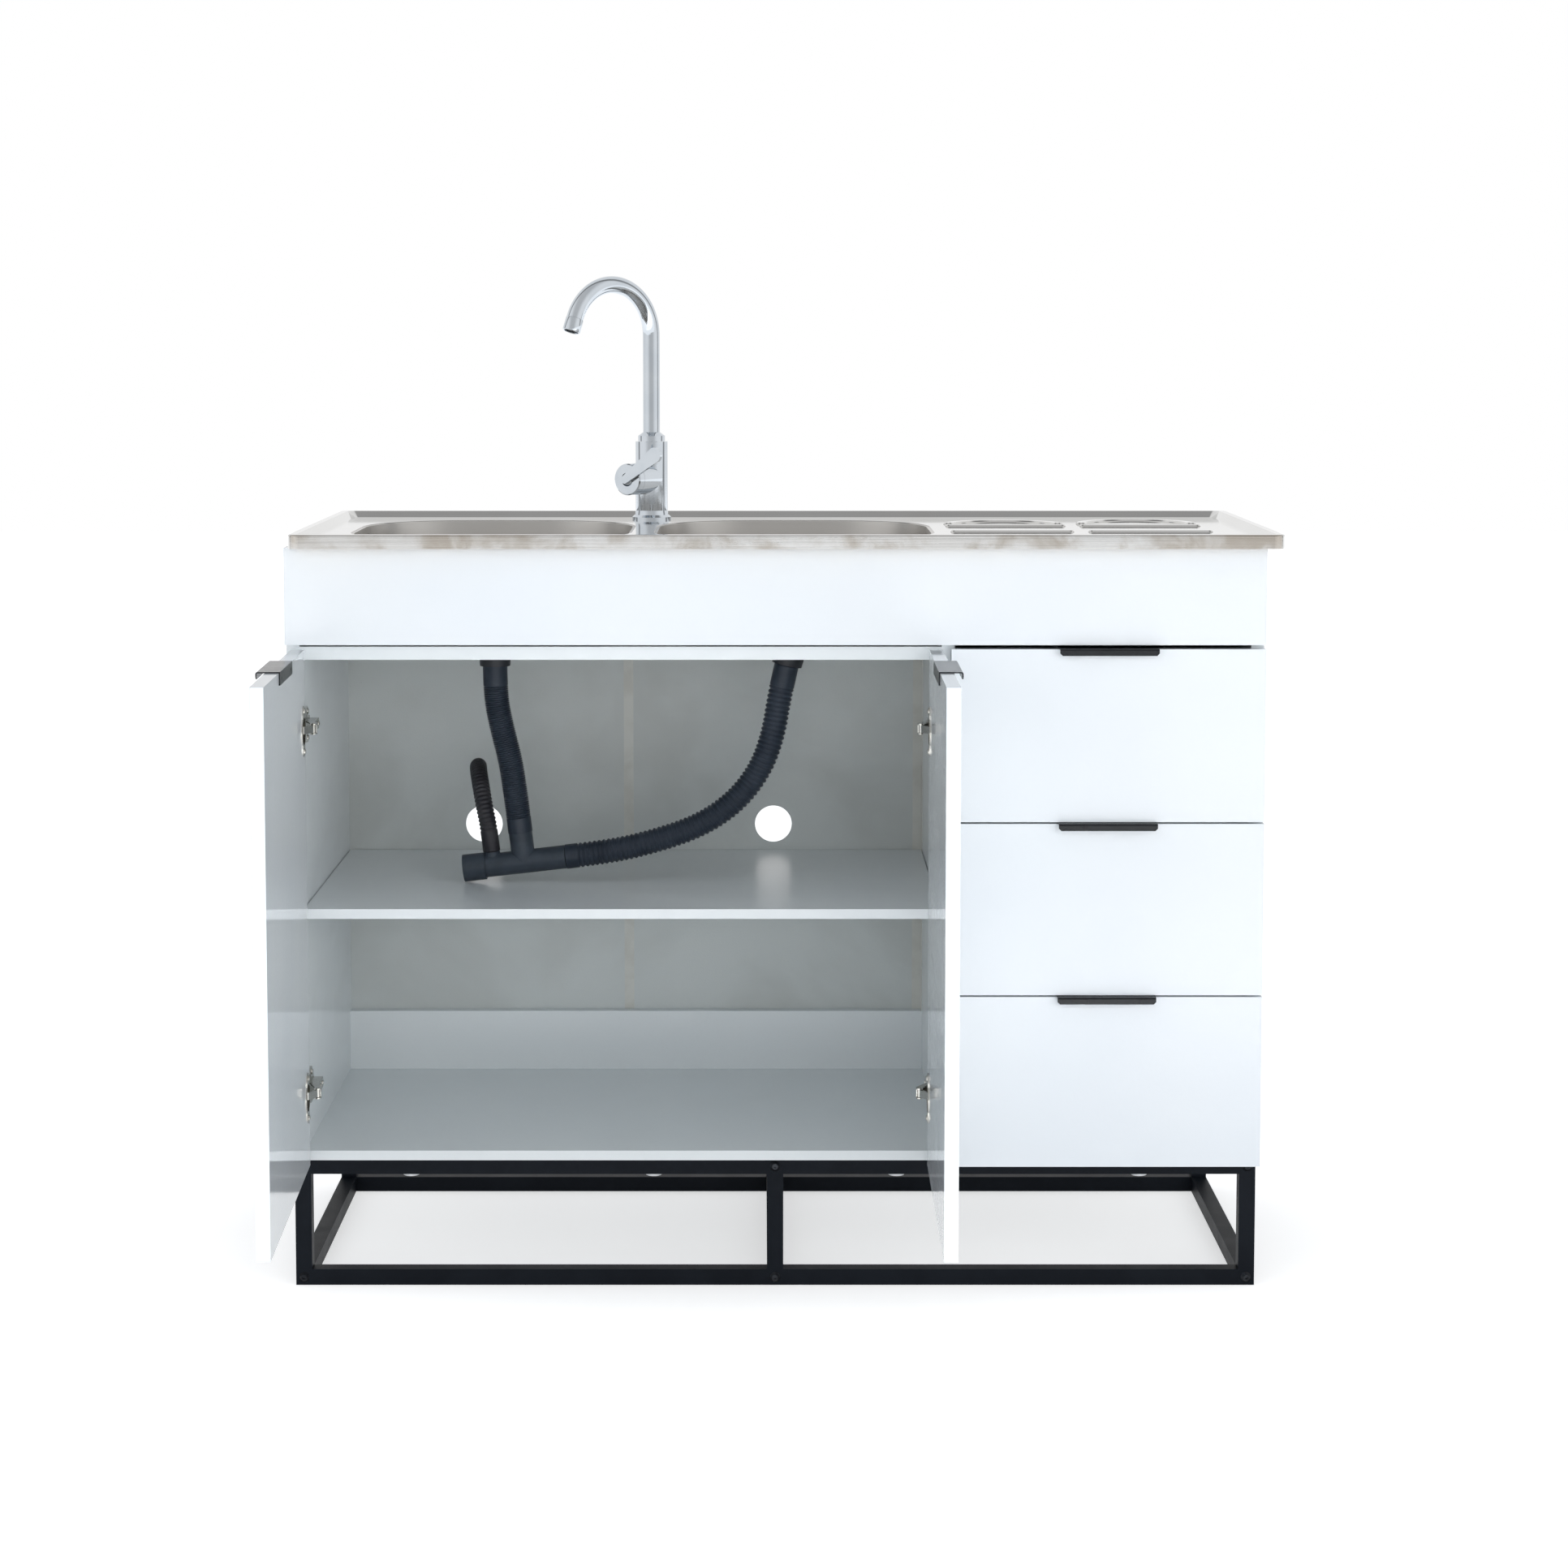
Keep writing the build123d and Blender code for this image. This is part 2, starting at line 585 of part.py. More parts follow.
def door_panel(edge_x, side):
    """A shut door with its two cup holes."""
    xs = sorted((edge_x, edge_x + side * DOOR_WIDTH))
    panel = board(xs, (FRONT_FACE_Y, FRONT_BACK_Y), (FRONT_BASE_Z, DOOR_TOP_Z))
    for z in HINGE_ZS:
        cup_x = edge_x + side * CUP_EDGE
        depth = CUP_DEPTH + CUP_HOLE_PLAY
        panel -= along_y(cup_x, FRONT_BACK_Y - depth, z, CUP_RADIUS + CUP_HOLE_PLAY, depth)
    return panel


def hinge_cups(edge_x, side):
    """Two pressed cups with their screw flanges on the door's inner face."""
    cup_x = edge_x + side * CUP_EDGE
    cups = []
    for z in HINGE_ZS:
        slot = SlotOverall(CUP_FLANGE_LENGTH, CUP_FLANGE_WIDTH, rotation=90)
        cup = Rot(-90, 0, 0) * extrude(slot, CUP_FLANGE)
        cup += along_y(0, 0, 0, CUP_RIM_RADIUS, CUP_FLANGE)
        cup += along_y(0, -CUP_DEPTH, 0, CUP_RADIUS, CUP_DEPTH)
        inside = CUP_DEPTH - CUP_WALL
        cup -= along_y(0, -inside, 0, CUP_RADIUS - CUP_WALL, inside + CUP_FLANGE)
        cups.append(Pos(cup_x, FRONT_BACK_Y, z) * cup)
    return group(cups)


def arm_outline(edge_x, side, face_u):
    """Plan outline of a hinge arm, which cranks out from its plate to the nose pin."""
    low = face_u + PLATE_SHEET
    bend = ARM_BENDS[face_u]
    nose_back = ARM_PIN_V - ARM_NOSE_RADIUS
    outline = [
        (low, -ARM_LENGTH),
        (low + ARM_WIDTH, -ARM_LENGTH),
        (low + ARM_WIDTH, -bend),
        (ARM_PIN_U + ARM_NOSE_RADIUS, nose_back),
        (ARM_PIN_U + ARM_NOSE_RADIUS, ARM_PIN_V),
        (ARM_PIN_U - ARM_NOSE_RADIUS, ARM_PIN_V),
        (ARM_PIN_U - ARM_NOSE_RADIUS, nose_back),
        (low, -bend - ARM_NOSE_RADIUS),
    ]
    face = make_face(Polyline([hinge_point(edge_x, side, u, v) for u, v in outline], close=True))
    nose = Pos(*hinge_point(edge_x, side, ARM_PIN_U, ARM_PIN_V)) * Circle(ARM_NOSE_RADIUS)
    return face + nose


def hinge_arm(edge_x, side, face_u, z):
    """A channel-shaped arm, its mounting plate and the riveted nose pin."""
    outline = arm_outline(edge_x, side, face_u)
    low_z = z - ARM_HEIGHT / 2
    arm = Pos(0, 0, low_z) * extrude(outline, ARM_HEIGHT)
    hollow = extrude(outline, ARM_HEIGHT - 2 * ARM_SHEET)
    arm -= Pos(-side * ARM_SHEET, 0, low_z + ARM_SHEET) * hollow
    near_x, pin_y = hinge_point(edge_x, side, ARM_PIN_U - 2 * ARM_NOSE_RADIUS, ARM_PIN_V)
    far_x, tip_y = hinge_point(edge_x, side, ARM_PIN_U + 2 * ARM_NOSE_RADIUS, ARM_PIN_V + 2 * ARM_NOSE_RADIUS)
    mouth = (low_z + ARM_SHEET, low_z + ARM_HEIGHT - ARM_SHEET)
    arm -= board(sorted((near_x, far_x)), (tip_y, pin_y), mouth)
    x, y = hinge_point(edge_x, side, ARM_PIN_U, ARM_PIN_V)
    arm -= Pos(x, y, z) * Cylinder(PIN_RADIUS + PIN_PLAY, 2 * ARM_HEIGHT)
    pin = Pos(x, y, z) * Cylinder(PIN_RADIUS, ARM_HEIGHT + 2 * PIN_HEAD)
    for end in (-1, 1):
        head_z = z + end * (ARM_HEIGHT + PIN_HEAD) / 2
        pin += Pos(x, y, head_z) * Cylinder(PIN_RADIUS + PIN_HEAD, PIN_HEAD)
    return [arm, hinge_plate(edge_x, side, face_u, z), pin]


def hinge_plate(edge_x, side, face_u, z):
    """The cross-shaped mounting plate on the carcass board."""
    face_x, front_y = hinge_point(edge_x, side, face_u, -PLATE_SETBACK)
    xs = sorted((face_x, face_x + side * PLATE_SHEET))
    mid_y = front_y + PLATE_LENGTH * 0.58
    ys = (front_y, front_y + PLATE_LENGTH)
    plate = board(xs, ys, (z - PLATE_HEIGHT / 2, z + PLATE_HEIGHT / 2))
    wing = (mid_y - PLATE_WING_WIDTH / 2, mid_y + PLATE_WING_WIDTH / 2)
    return plate + board(xs, wing, (z - PLATE_WING / 2, z + PLATE_WING / 2))


def hinge_arms(edge_x, side, face_u):
    """Both arms of one door."""
    return group(piece for z in HINGE_ZS for piece in hinge_arm(edge_x, side, face_u, z))


def hinge_links(edge_x, side, angle):
    """The links, from the arms' nose pins to the open pivot inside the cups."""
    start = hinge_point(edge_x, side, ARM_PIN_U, ARM_PIN_V)
    end = swung_point(edge_x, side, angle, CUP_PIN_U, CUP_PIN_V)
    across = Vector(end[1] - start[1], start[0] - end[0]).normalized() * LINK_HALF
    corners = [
        (start[0] + across.X, start[1] + across.Y),
        (end[0] + across.X, end[1] + across.Y),
        (end[0] - across.X, end[1] - across.Y),
        (start[0] - across.X, start[1] - across.Y),
    ]
    outline = make_face(Polyline(corners, close=True))
    outline += Pos(*start) * Circle(LINK_EYE_RADIUS)
    outline += Pos(*end) * Circle(LINK_HALF)
    outline -= Pos(*start) * Circle(PIN_RADIUS + PIN_PLAY)
    link = extrude(outline, LINK_HEIGHT)
    return group(Pos(0, 0, z - LINK_HEIGHT / 2) * link for z in HINGE_ZS)


def save_door(name, edge_x, side, face_u, angle):
    """One door: panel, handle and cups swing together, arms stay, links follow."""
    handle_x = edge_x + side * DOOR_WIDTH / 2
    save(name + "_door_panel", swing(door_panel(edge_x, side), edge_x, side, angle))
    handle = edge_handle(handle_x, FRONT_FACE_Y, DOOR_TOP_Z)
    save(name + "_door_handle", swing(handle, edge_x, side, angle))
    save(name + "_hinge_cups", swing(hinge_cups(edge_x, side), edge_x, side, angle))
    save(name + "_hinge_arms", hinge_arms(edge_x, side, face_u))
    save(name + "_hinge_links", hinge_links(edge_x, side, angle))


# ---- Drawers --------------------------------------------------------------------------
def drawer_front_z(index):
    """Bottom edge of a drawer front, counted from the lowest drawer."""
    return BASE_Z - DRAWER_DROP + index * DRAWER_PITCH


def drawer_front(index):
    """The plain board that shows."""
    low = drawer_front_z(index)
    xs = (PARTITION_X + DRAWER_SIDE_GAP, HALF_WIDTH)
    return board(xs, (FRONT_FACE_Y, FRONT_BACK_Y), (low, low + DRAWER_FRONT_HEIGHT))


def drawer_box_xs():
    """Outer faces of a drawer box, clear of the runners on both sides."""
    return (PARTITION_RIGHT_X + RUNNER_GAP, INNER_RIGHT_X - RUNNER_GAP)


def drawer_box(index):
    """Four joined boards, open at the top."""
    low = drawer_front_z(index) + DRAWER_BOX_RISE + PANEL
    left, right = drawer_box_xs()
    ys = (FRONT_BACK_Y, FRONT_BACK_Y + DRAWER_LENGTH)
    zs = (low, low - PANEL + DRAWER_BOX_HEIGHT)
    outer = board((left, right), ys, zs)
    inner_ys = (ys[0] + DRAWER_BOARD, ys[1] - DRAWER_BOARD)
    return outer - board((left + DRAWER_BOARD, right - DRAWER_BOARD), inner_ys, zs)


def drawer_bottom(index):
    """The thin panel nailed under a drawer box."""
    low = drawer_front_z(index) + DRAWER_BOX_RISE
    ys = (FRONT_BACK_Y, FRONT_BACK_Y + DRAWER_LENGTH)
    return board(drawer_box_xs(), ys, (low, low + PANEL))


def roller_top(low):
    """Height of the drawer runner's flange, which rides on the front rollers."""
    return low + 2 * ROLLER_RADIUS


def drawer_runner(index, side):
    """The bent strip on one side of a drawer, with the roller at its back end."""
    low = drawer_front_z(index) + DRAWER_BOX_RISE
    wall = drawer_box_xs()[0] if side < 0 else drawer_box_xs()[1]
    top = roller_top(low)
    section = [
        (-RUNNER_FOOT, -RUNNER_SHEET),
        (RUNNER_SHEET, -RUNNER_SHEET),
        (RUNNER_SHEET, top - low),
        (RUNNER_GAP - 3 * RUNNER_SHEET, top - low),
        (RUNNER_GAP - 3 * RUNNER_SHEET, top - low + RUNNER_SHEET),
        (0, top - low + RUNNER_SHEET),
        (0, 0),
        (-RUNNER_FOOT, 0),
    ]
    back = FRONT_BACK_Y + DRAWER_LENGTH
    points = [(wall + side * x, back - RUNNER_LENGTH, low + z) for x, z in section]
    strip = extrude(make_face(Polyline(points, close=True)), RUNNER_LENGTH, dir=(0, 1, 0))
    xs = sorted((wall + side * RUNNER_SHEET, wall + side * (RUNNER_GAP - 3 * RUNNER_SHEET)))
    axle_z = low - RUNNER_SHEET + ROLLER_RADIUS - RUNNER_PLAY
    return strip + along_x(xs[0], back - ROLLER_INSET, axle_z, ROLLER_RADIUS, xs[1] - xs[0])


def cabinet_runner(index, side):
    """The channel on the carcass, with the roller at its front end."""
    low = drawer_front_z(index) + DRAWER_BOX_RISE
    wall = PARTITION_RIGHT_X if side < 0 else INNER_RIGHT_X
    floor = -RUNNER_SHEET - 2 * RUNNER_PLAY
    top = roller_top(low) - low + 2 * RUNNER_SHEET + 2 * RUNNER_PLAY
    reach = RUNNER_GAP - RUNNER_SHEET - 2 * RUNNER_PLAY
    section = [
        (0, floor - RUNNER_SHEET),
        (reach, floor - RUNNER_SHEET),
        (reach, floor),
        (RUNNER_SHEET, floor),
        (RUNNER_SHEET, top),
        (reach, top),
        (reach, top + RUNNER_SHEET),
        (0, top + RUNNER_SHEET),
    ]
    front = FRONT_EDGE_Y + FRONT_DROP
    points = [(wall - side * x, front, low + z) for x, z in section]
    channel = extrude(make_face(Polyline(points, close=True)), RUNNER_LENGTH, dir=(0, 1, 0))
    xs = sorted((wall - side * RUNNER_SHEET, wall - side * (RUNNER_GAP - 3 * RUNNER_SHEET)))
    axle_z = roller_top(low) - RUNNER_PLAY - ROLLER_RADIUS
    return channel + along_x(xs[0], front + ROLLER_INSET, axle_z, ROLLER_RADIUS, xs[1] - xs[0])


def save_drawers():
    """Three alike drawers, and the six channels that carry them."""
    for index, name in enumerate(DRAWER_NAMES):
        top_z = drawer_front_z(index) + DRAWER_FRONT_HEIGHT
        handle_x = (PARTITION_X + DRAWER_SIDE_GAP + HALF_WIDTH) / 2
        save(name + "_drawer_front", drawer_front(index))
        save(name + "_drawer_handle", edge_handle(handle_x, FRONT_FACE_Y, top_z))
        save(name + "_drawer_box", drawer_box(index))
        save(name + "_drawer_bottom", drawer_bottom(index))
        save(name + "_drawer_runners", group(drawer_runner(index, side) for side in (-1, 1)))
    rows = range(len(DRAWER_NAMES))
    save("cabinet_runners", group(cabinet_runner(i, side) for i in rows for side in (-1, 1)))


# ---- Sink top -------------------------------------------------------------------------
def sink_rectangle(inset, z):
    """The sink's outline, drawn in by an amount, at a height."""
    radius = max(SINK_CORNER - inset / 2, SHEET)
    outline = RectangleRounded(SINK_WIDTH - 2 * inset, SINK_DEPTH - 2 * inset, radius)
    return Pos(SINK_X, SINK_Y, z) * outline


def sink_deck():
    """The pressed sheet: skirt, rim, sloped step and deck, cut out for the bowls."""
    block = extrude(sink_rectangle(0, TOP_Z), SKIRT)
    block = fillet(block.edges().group_by(Axis.Z)[-1], 2 * SHEET)
    step = loft([sink_rectangle(RIM, RIM_Z), sink_rectangle(RIM + RIM_SLOPE, DECK_Z)])
    under = extrude(sink_rectangle(SHEET, TOP_Z), SKIRT - SHEET)
    shell_step = loft([
        sink_rectangle(RIM - SHEET, RIM_Z),
        sink_rectangle(RIM + RIM_SLOPE - SHEET, DECK_Z - SHEET),
    ])
    deck = block - step - (under - shell_step)
    for x in BOWL_XS:
        deck -= Pos(x, BOWL_Y, BOWL_TOP_Z) * extrude(bowl_plan(BOWL_LIP), SHEET)
    deck -= upright(TAP_X, TAP_Y, DECK_Z - SHEET, SHANK_RADIUS + SHANK_HOLE_PLAY, SHEET)
    for shares, rise in zip(RIDGE_SHARES, RIDGE_ARCH_RISES):
        xs = [DRAINER_X + share * DRAINER_WIDTH for share in shares]
        deck += drainer_ridges(xs, rise)
    return deck


def drainer_ridges(xs, rise):
    """One group of low ridges on the drainer: three straight ones and an arched one behind."""
    middle = sum(xs) / 2
    length = xs[1] - xs[0]
    outlines = [Pos(middle, y) * SlotOverall(length, RIDGE_WIDTH) for y in RIDGE_YS]
    inset = RIDGE_WIDTH / 2
    start_y = RIDGE_YS[-1] + 3 * RIDGE_WIDTH
    arch = ThreePointArc(
        (xs[0] + inset, start_y), (middle, RIDGE_YS[-1] + rise), (xs[1] - inset, start_y)
    )
    outlines.append(SlotArc(arch, RIDGE_WIDTH))
    ridges = []
    for outline in outlines:
        ridge = Pos(0, 0, DECK_Z) * extrude(outline, RIDGE_HEIGHT)
        ridges.append(chamfer(ridge.edges().group_by(Axis.Z)[-1], RIDGE_SLOPE))
    return ridges


def bowl_plan(grow):
    """A bowl's rounded outline, let out by an amount."""
    return RectangleRounded(BOWL_WIDTH + 2 * grow, BOWL_LENGTH + 2 * grow, BOWL_CORNER + grow)


def bowl_block(grow, low_z):
    """A tapered block with a rounded floor, from the deck's underside down."""
    top = Pos(0, 0, BOWL_TOP_Z) * bowl_plan(grow)
    bottom = Pos(0, 0, low_z) * bowl_plan(grow - BOWL_TAPER)
    block = loft([bottom, top], ruled=True)
    return fillet(block.edges().group_by(Axis.Z)[0], BOWL_FLOOR_RADIUS + grow)


def bowl(x, waste_x):
    """A drawn bowl with its welding flange under the deck and the waste's hole."""
    wall = bowl_block(SHEET, BOWL_FLOOR_Z - SHEET)
    flange = Pos(0, 0, BOWL_TOP_Z - SHEET) * extrude(bowl_plan(BOWL_LIP + BOWL_FLANGE), SHEET)
    shape = wall + flange - bowl_block(0, BOWL_FLOOR_Z)
    hole = Cylinder(WASTE_CUP_RADIUS + WASTE_HOLE_PLAY, 4 * SHEET)
    return Pos(x, BOWL_Y, 0) * shape - Pos(waste_x, BOWL_Y, BOWL_FLOOR_Z) * hole


def sink_battens():
    """Strips under the deck that carry it on the cabinet's top edges."""
    zs = (TOP_Z, DECK_Z - SHEET)
    rear_y = BACK_EDGE_Y - REAR_BATTEN_WIDTH
    full = (LEFT_X + LEFT_BATTEN[0] + BATTEN_END_INSET, HALF_WIDTH + RIGHT_BATTEN[1] - BATTEN_END_INSET)
    battens = [
        board(full, (FRONT_EDGE_Y - FRONT_BATTEN_WIDTH, FRONT_EDGE_Y), zs),
        board(full, (rear_y, BACK_EDGE_Y), zs),
    ]
    for x, span in ((LEFT_X, LEFT_BATTEN), (PARTITION_X, MIDDLE_BATTEN), (HALF_WIDTH, RIGHT_BATTEN)):
        battens.append(board((x + span[0], x + span[1]), (FRONT_EDGE_Y, rear_y), zs))
    return group(battens)


# ---- Wastes ---------------------------------------------------------------------------
def tail_plane(x, lean, down):
    """A plane across a tail pipe, some way down its axis, facing back up the pipe."""
    turn = math.radians(lean)
    along = Vector(-math.sin(turn), 0, -math.cos(turn))
    origin = Vector(x, BOWL_Y, BOWL_FLOOR_Z - TAIL_TOP) + along * (down - TAIL_TOP)
    return Plane(origin=origin, x_dir=(0, 1, 0), z_dir=along * -1)


def tail_bar(x, lean, radius):
    """A round bar down the whole of a tail pipe."""
    length = TAIL_DROP - TAIL_TOP
    return tail_plane(x, lean, TAIL_DROP) * Pos(0, 0, length / 2) * Cylinder(radius, length)


def waste_body(x, lean):
    """The flanged cup in a bowl's floor, with its tail pipe, which may lean."""
    inner = WASTE_CUP_RADIUS - WASTE_WALL
    body = turned([
        (0, -WASTE_CUP_DEPTH),
        (WASTE_CUP_RADIUS, -WASTE_CUP_DEPTH),
        (WASTE_CUP_RADIUS, 0),
        (WASTE_FLANGE_RADIUS, 0),
        (WASTE_FLANGE_RADIUS - WASTE_FLANGE, WASTE_FLANGE),
        (0, WASTE_FLANGE),
    ])
    body = Pos(x, BOWL_Y, BOWL_FLOOR_Z) * body + tail_bar(x, lean, TAIL_RADIUS)
    depth = WASTE_CUP_DEPTH - WASTE_WALL
    body -= upright(x, BOWL_Y, BOWL_FLOOR_Z - depth, inner, depth + WASTE_FLANGE)
    return body - tail_bar(x, lean, TAIL_RADIUS - TAIL_WALL)


def waste_nuts():
    """A back nut under each bowl and a union nut on each tail pipe."""
    back_nut = Cylinder(BACKNUT_RADIUS, BACKNUT_HEIGHT)
    back_nut -= Cylinder(WASTE_CUP_RADIUS + NUT_PLAY, BACKNUT_HEIGHT)
    nut_z = BOWL_FLOOR_Z - SHEET - BACKNUT_HEIGHT / 2
    bore = TAIL_RADIUS + NUT_PLAY
    union = turned([
        (bore, 0),
        (UNION_RADIUS - 1, 0),
        (UNION_RADIUS, UNION_HEIGHT / 2),
        (UNION_RADIUS - 1, UNION_HEIGHT),
        (bore, UNION_HEIGHT),
    ])
    nuts = [Pos(x, BOWL_Y, nut_z) * back_nut for x in WASTE_XS]
    for x, lean in zip(WASTE_XS, WASTE_LEANS):
        nuts.append(tail_plane(x, lean, TAIL_DROP) * union)
    return group(nuts)


def waste_basket(x):
    """The lift-out strainer: a rimmed dish with a knob, on the waste's flange."""
    radius = WASTE_CUP_RADIUS - WASTE_WALL - BASKET_PLAY
    rim = WASTE_FLANGE + SEAT_GAP
    floor = -BASKET_DEPTH + BASKET_SHEET
    knob_top = floor + BASKET_KNOB_HEIGHT
    dish = turned([
        (0, -BASKET_DEPTH),
        (radius - 2, -BASKET_DEPTH),
        (radius, rim),
        (BASKET_RIM, rim),
        (BASKET_RIM, rim + BASKET_SHEET),
        (radius - BASKET_SHEET, rim + BASKET_SHEET),
        (radius - BASKET_SHEET - 2, floor),
        (BASKET_KNOB_RADIUS / 2, floor),
        (BASKET_KNOB_RADIUS / 2, knob_top - 5),
        (BASKET_KNOB_RADIUS, knob_top - 4),
        (BASKET_KNOB_RADIUS, knob_top),
        (0, knob_top),
    ])
    return Pos(x, BOWL_Y, BOWL_FLOOR_Z) * dish


# ---- Collector ------------------------------------------------------------------------
def collector_axis(along, out=0.0):
    """A point on the collector's axis, or square to it, in X, Y and Z."""
    slope = math.radians(COLLECTOR_SLOPE)
    x = COLLECTOR_X + along * math.cos(slope) - out * math.sin(slope)
    z = COLLECTOR_Z + along * math.sin(slope) + out * math.cos(slope)
    return x, BOWL_Y, z


def bar_between(start, end, radius):
    """A round bar from one point to another."""
    axis = Vector(*end) - Vector(*start)
    place = Plane(origin=start, x_dir=(0, 1, 0), z_dir=axis)
    return place * Pos(0, 0, axis.length / 2) * Cylinder(radius, axis.length)


def collector():
    """The pipe on the shelf: open socket, overflow stub, tee branch and hose spigot."""
    mouth = collector_axis(0)
    spigot_end = collector_axis(COLLECTOR_LENGTH + SPIGOT_LENGTH)
    tee = collector_axis(BRANCH_ALONG)
    tee_top = collector_axis(BRANCH_ALONG, BRANCH_HEIGHT)
    stub = collector_axis(STUB_ALONG)
    stub_top = collector_axis(STUB_ALONG, STUB_HEIGHT)
    pipe = bar_between(mouth, collector_axis(SOCKET_LENGTH), SOCKET_RADIUS)
    pipe += bar_between(mouth, collector_axis(COLLECTOR_LENGTH), COLLECTOR_RADIUS)
    pipe += bar_between(mouth, spigot_end, SPIGOT_RADIUS)
    pipe += bar_between(tee, tee_top, BRANCH_RADIUS)
    pipe += bar_between(stub, collector_axis(STUB_ALONG, STUB_COLLAR_HEIGHT), STUB_COLLAR)
    pipe += bar_between(stub, stub_top, STUB_RADIUS)
    pipe -= bar_between(mouth, collector_axis(SOCKET_BORE_DEPTH), SOCKET_BORE)
    pipe -= bar_between(mouth, collector_axis(COLLECTOR_LENGTH - SOCKET_BORE_DEPTH), COLLECTOR_BORE)
    pipe -= bar_between(mouth, spigot_end, SPIGOT_BORE)
    pipe -= bar_between(tee, tee_top, BRANCH_BORE)
    return pipe - bar_between(stub, stub_top, STUB_BORE)


# ---- Hoses ----------------------------------------------------------------------------
def hose_routes():
    """The corner points of the three hoses: left waste, right waste and overflow."""
    left = [
        tuple(tail_plane(WASTE_XS[0], WASTE_LEANS[0], TAIL_DROP).origin),
        (WASTE_XS[0], BOWL_Y, SHELF_Z + 240.6),
        (WASTE_XS[0] + 8.0, BOWL_Y, SHELF_Z + 199.6),
        (WASTE_XS[0] + 19.0, BOWL_Y, SHELF_Z + 156.6),
        collector_axis(BRANCH_ALONG, BRANCH_HEIGHT + 30),
        collector_axis(BRANCH_ALONG, BRANCH_HEIGHT - BRANCH_HOLD),
    ]
    right = [
        tuple(tail_plane(WASTE_XS[1], WASTE_LEANS[1], TAIL_DROP).origin),
        tuple(tail_plane(WASTE_XS[1], WASTE_LEANS[1], TAIL_DROP + 42).origin),
        (WASTE_XS[1] - 27.5, BOWL_Y, SHELF_Z + 191.6),
        (WASTE_XS[1] - 44.0, BOWL_Y, SHELF_Z + 145.6),
        (WASTE_XS[1] - 75.0, BOWL_Y, SHELF_Z + 104.6),
        (WASTE_XS[1] - 118.0, BOWL_Y, SHELF_Z + 74.6),
        (WASTE_XS[1] - 171.0, BOWL_Y, SHELF_Z + 55.1),
        collector_axis(COLLECTOR_LENGTH + 60),
        collector_axis(COLLECTOR_LENGTH),
    ]
    overflow = [
        collector_axis(STUB_ALONG, STUB_COLLAR_HEIGHT),
        collector_axis(STUB_ALONG, STUB_COLLAR_HEIGHT + 32),
        (COLLECTOR_X + 26.9, BOWL_Y + 5.2, SHELF_Z + 94.6),
        (COLLECTOR_X + 21.9, BOWL_Y + 18.2, SHELF_Z + 116.1),
        (COLLECTOR_X + 17.4, BOWL_Y + 37.7, SHELF_Z + 131.3),
        (COLLECTOR_X + 13.9, BOWL_Y + 61.7, SHELF_Z + 138.3),
        (COLLECTOR_X + 11.9, BOWL_Y + 86.7, SHELF_Z + 137.3),
    ]
    return left, right, overflow


def hose_path(route, straight):
    """Straight runs joined by arcs as large as the runs allow, straight at both ends."""
    points = [Vector(*point) for point in route]
    radii = []
    for place in range(1, len(points) - 1):
        arriving = points[place] - points[place - 1]
        leaving = points[place + 1] - points[place]
        reach = 0.45 * min(arriving.length, leaving.length)
        if place == 1:
            reach = min(reach, arriving.length - straight)
        if place == len(points) - 2:
            reach = min(reach, leaving.length - straight)
        radii.append(reach / math.tan(math.radians(arriving.get_angle(leaving)) / 2))
    print("arc radii", [round(radius) for radius in radii])
    return FilletPolyline(*points, radius=radii)


def ring(path, distance, radius, steady):
    """A circle across the path, a distance along it, turned to a steady direction."""
    at = distance / path.length
    return Plane(origin=path @ at, x_dir=steady, z_dir=path % at) * Circle(radius)


def ribbed_hose(route, steady, crest, root, cuff, bore, cuffs, ribs, neck=None):
    """A bored hose with a smooth cuff at each end and ribs between, four circles to a rib."""
    path = hose_path(route, 2 * crest)
    foot = path.length - (neck[0] if neck else 0)
    start, end = cuffs[0], foot - cuffs[1]
    pitch = (end - start) / (ribs + 0.65)
    rings = [(0, cuff), (start, cuff)]
    for rib in range(ribs):
        at = start + rib * pitch
        rings += [(at + 0.1 * pitch, root), (at + 0.4 * pitch, root)]
        rings += [(at + 0.55 * pitch, crest), (at + 0.95 * pitch, crest)]
    rings += [(end - 0.55 * pitch, root), (end - 0.25 * pitch, root), (end, cuff), (foot, cuff)]
    skin = loft([ring(path, at, radius, steady) for at, radius in rings], ruled=True)
    if neck:
        skin += bar_between(tuple(path @ (1 - 2 * neck[0] / path.length)), route[-1], neck[1])
    hose = skin - sweep(ring(path, 0, bore, steady), path)
    print("length", round(path.length, 1), "rib pitch", round(pitch, 2))
    return hose


# ---- Mixer tap ------------------------------------------------------------------------
def tap_place(turn, z):
    """A plane on the tap's axis whose X points along a plan direction."""
    heading = math.radians(turn)
    origin = (TAP_X, TAP_Y, z)
    return Plane(origin=origin, x_dir=(math.cos(heading), math.sin(heading), 0), z_dir=(0, 0, 1))


def cartridge_plane(reach):
    """A plane across the cartridge's axis, a reach out from the tap's axis."""
    heading = math.radians(CARTRIDGE_TURN)
    out = Vector(math.cos(heading), math.sin(heading), 0)
    origin = Vector(TAP_X, TAP_Y, DECK_Z + CARTRIDGE_RISE) + out * reach
    sideways = Vector(-math.sin(heading), math.cos(heading), 0)
    return Plane(origin=origin, x_dir=sideways, z_dir=out)


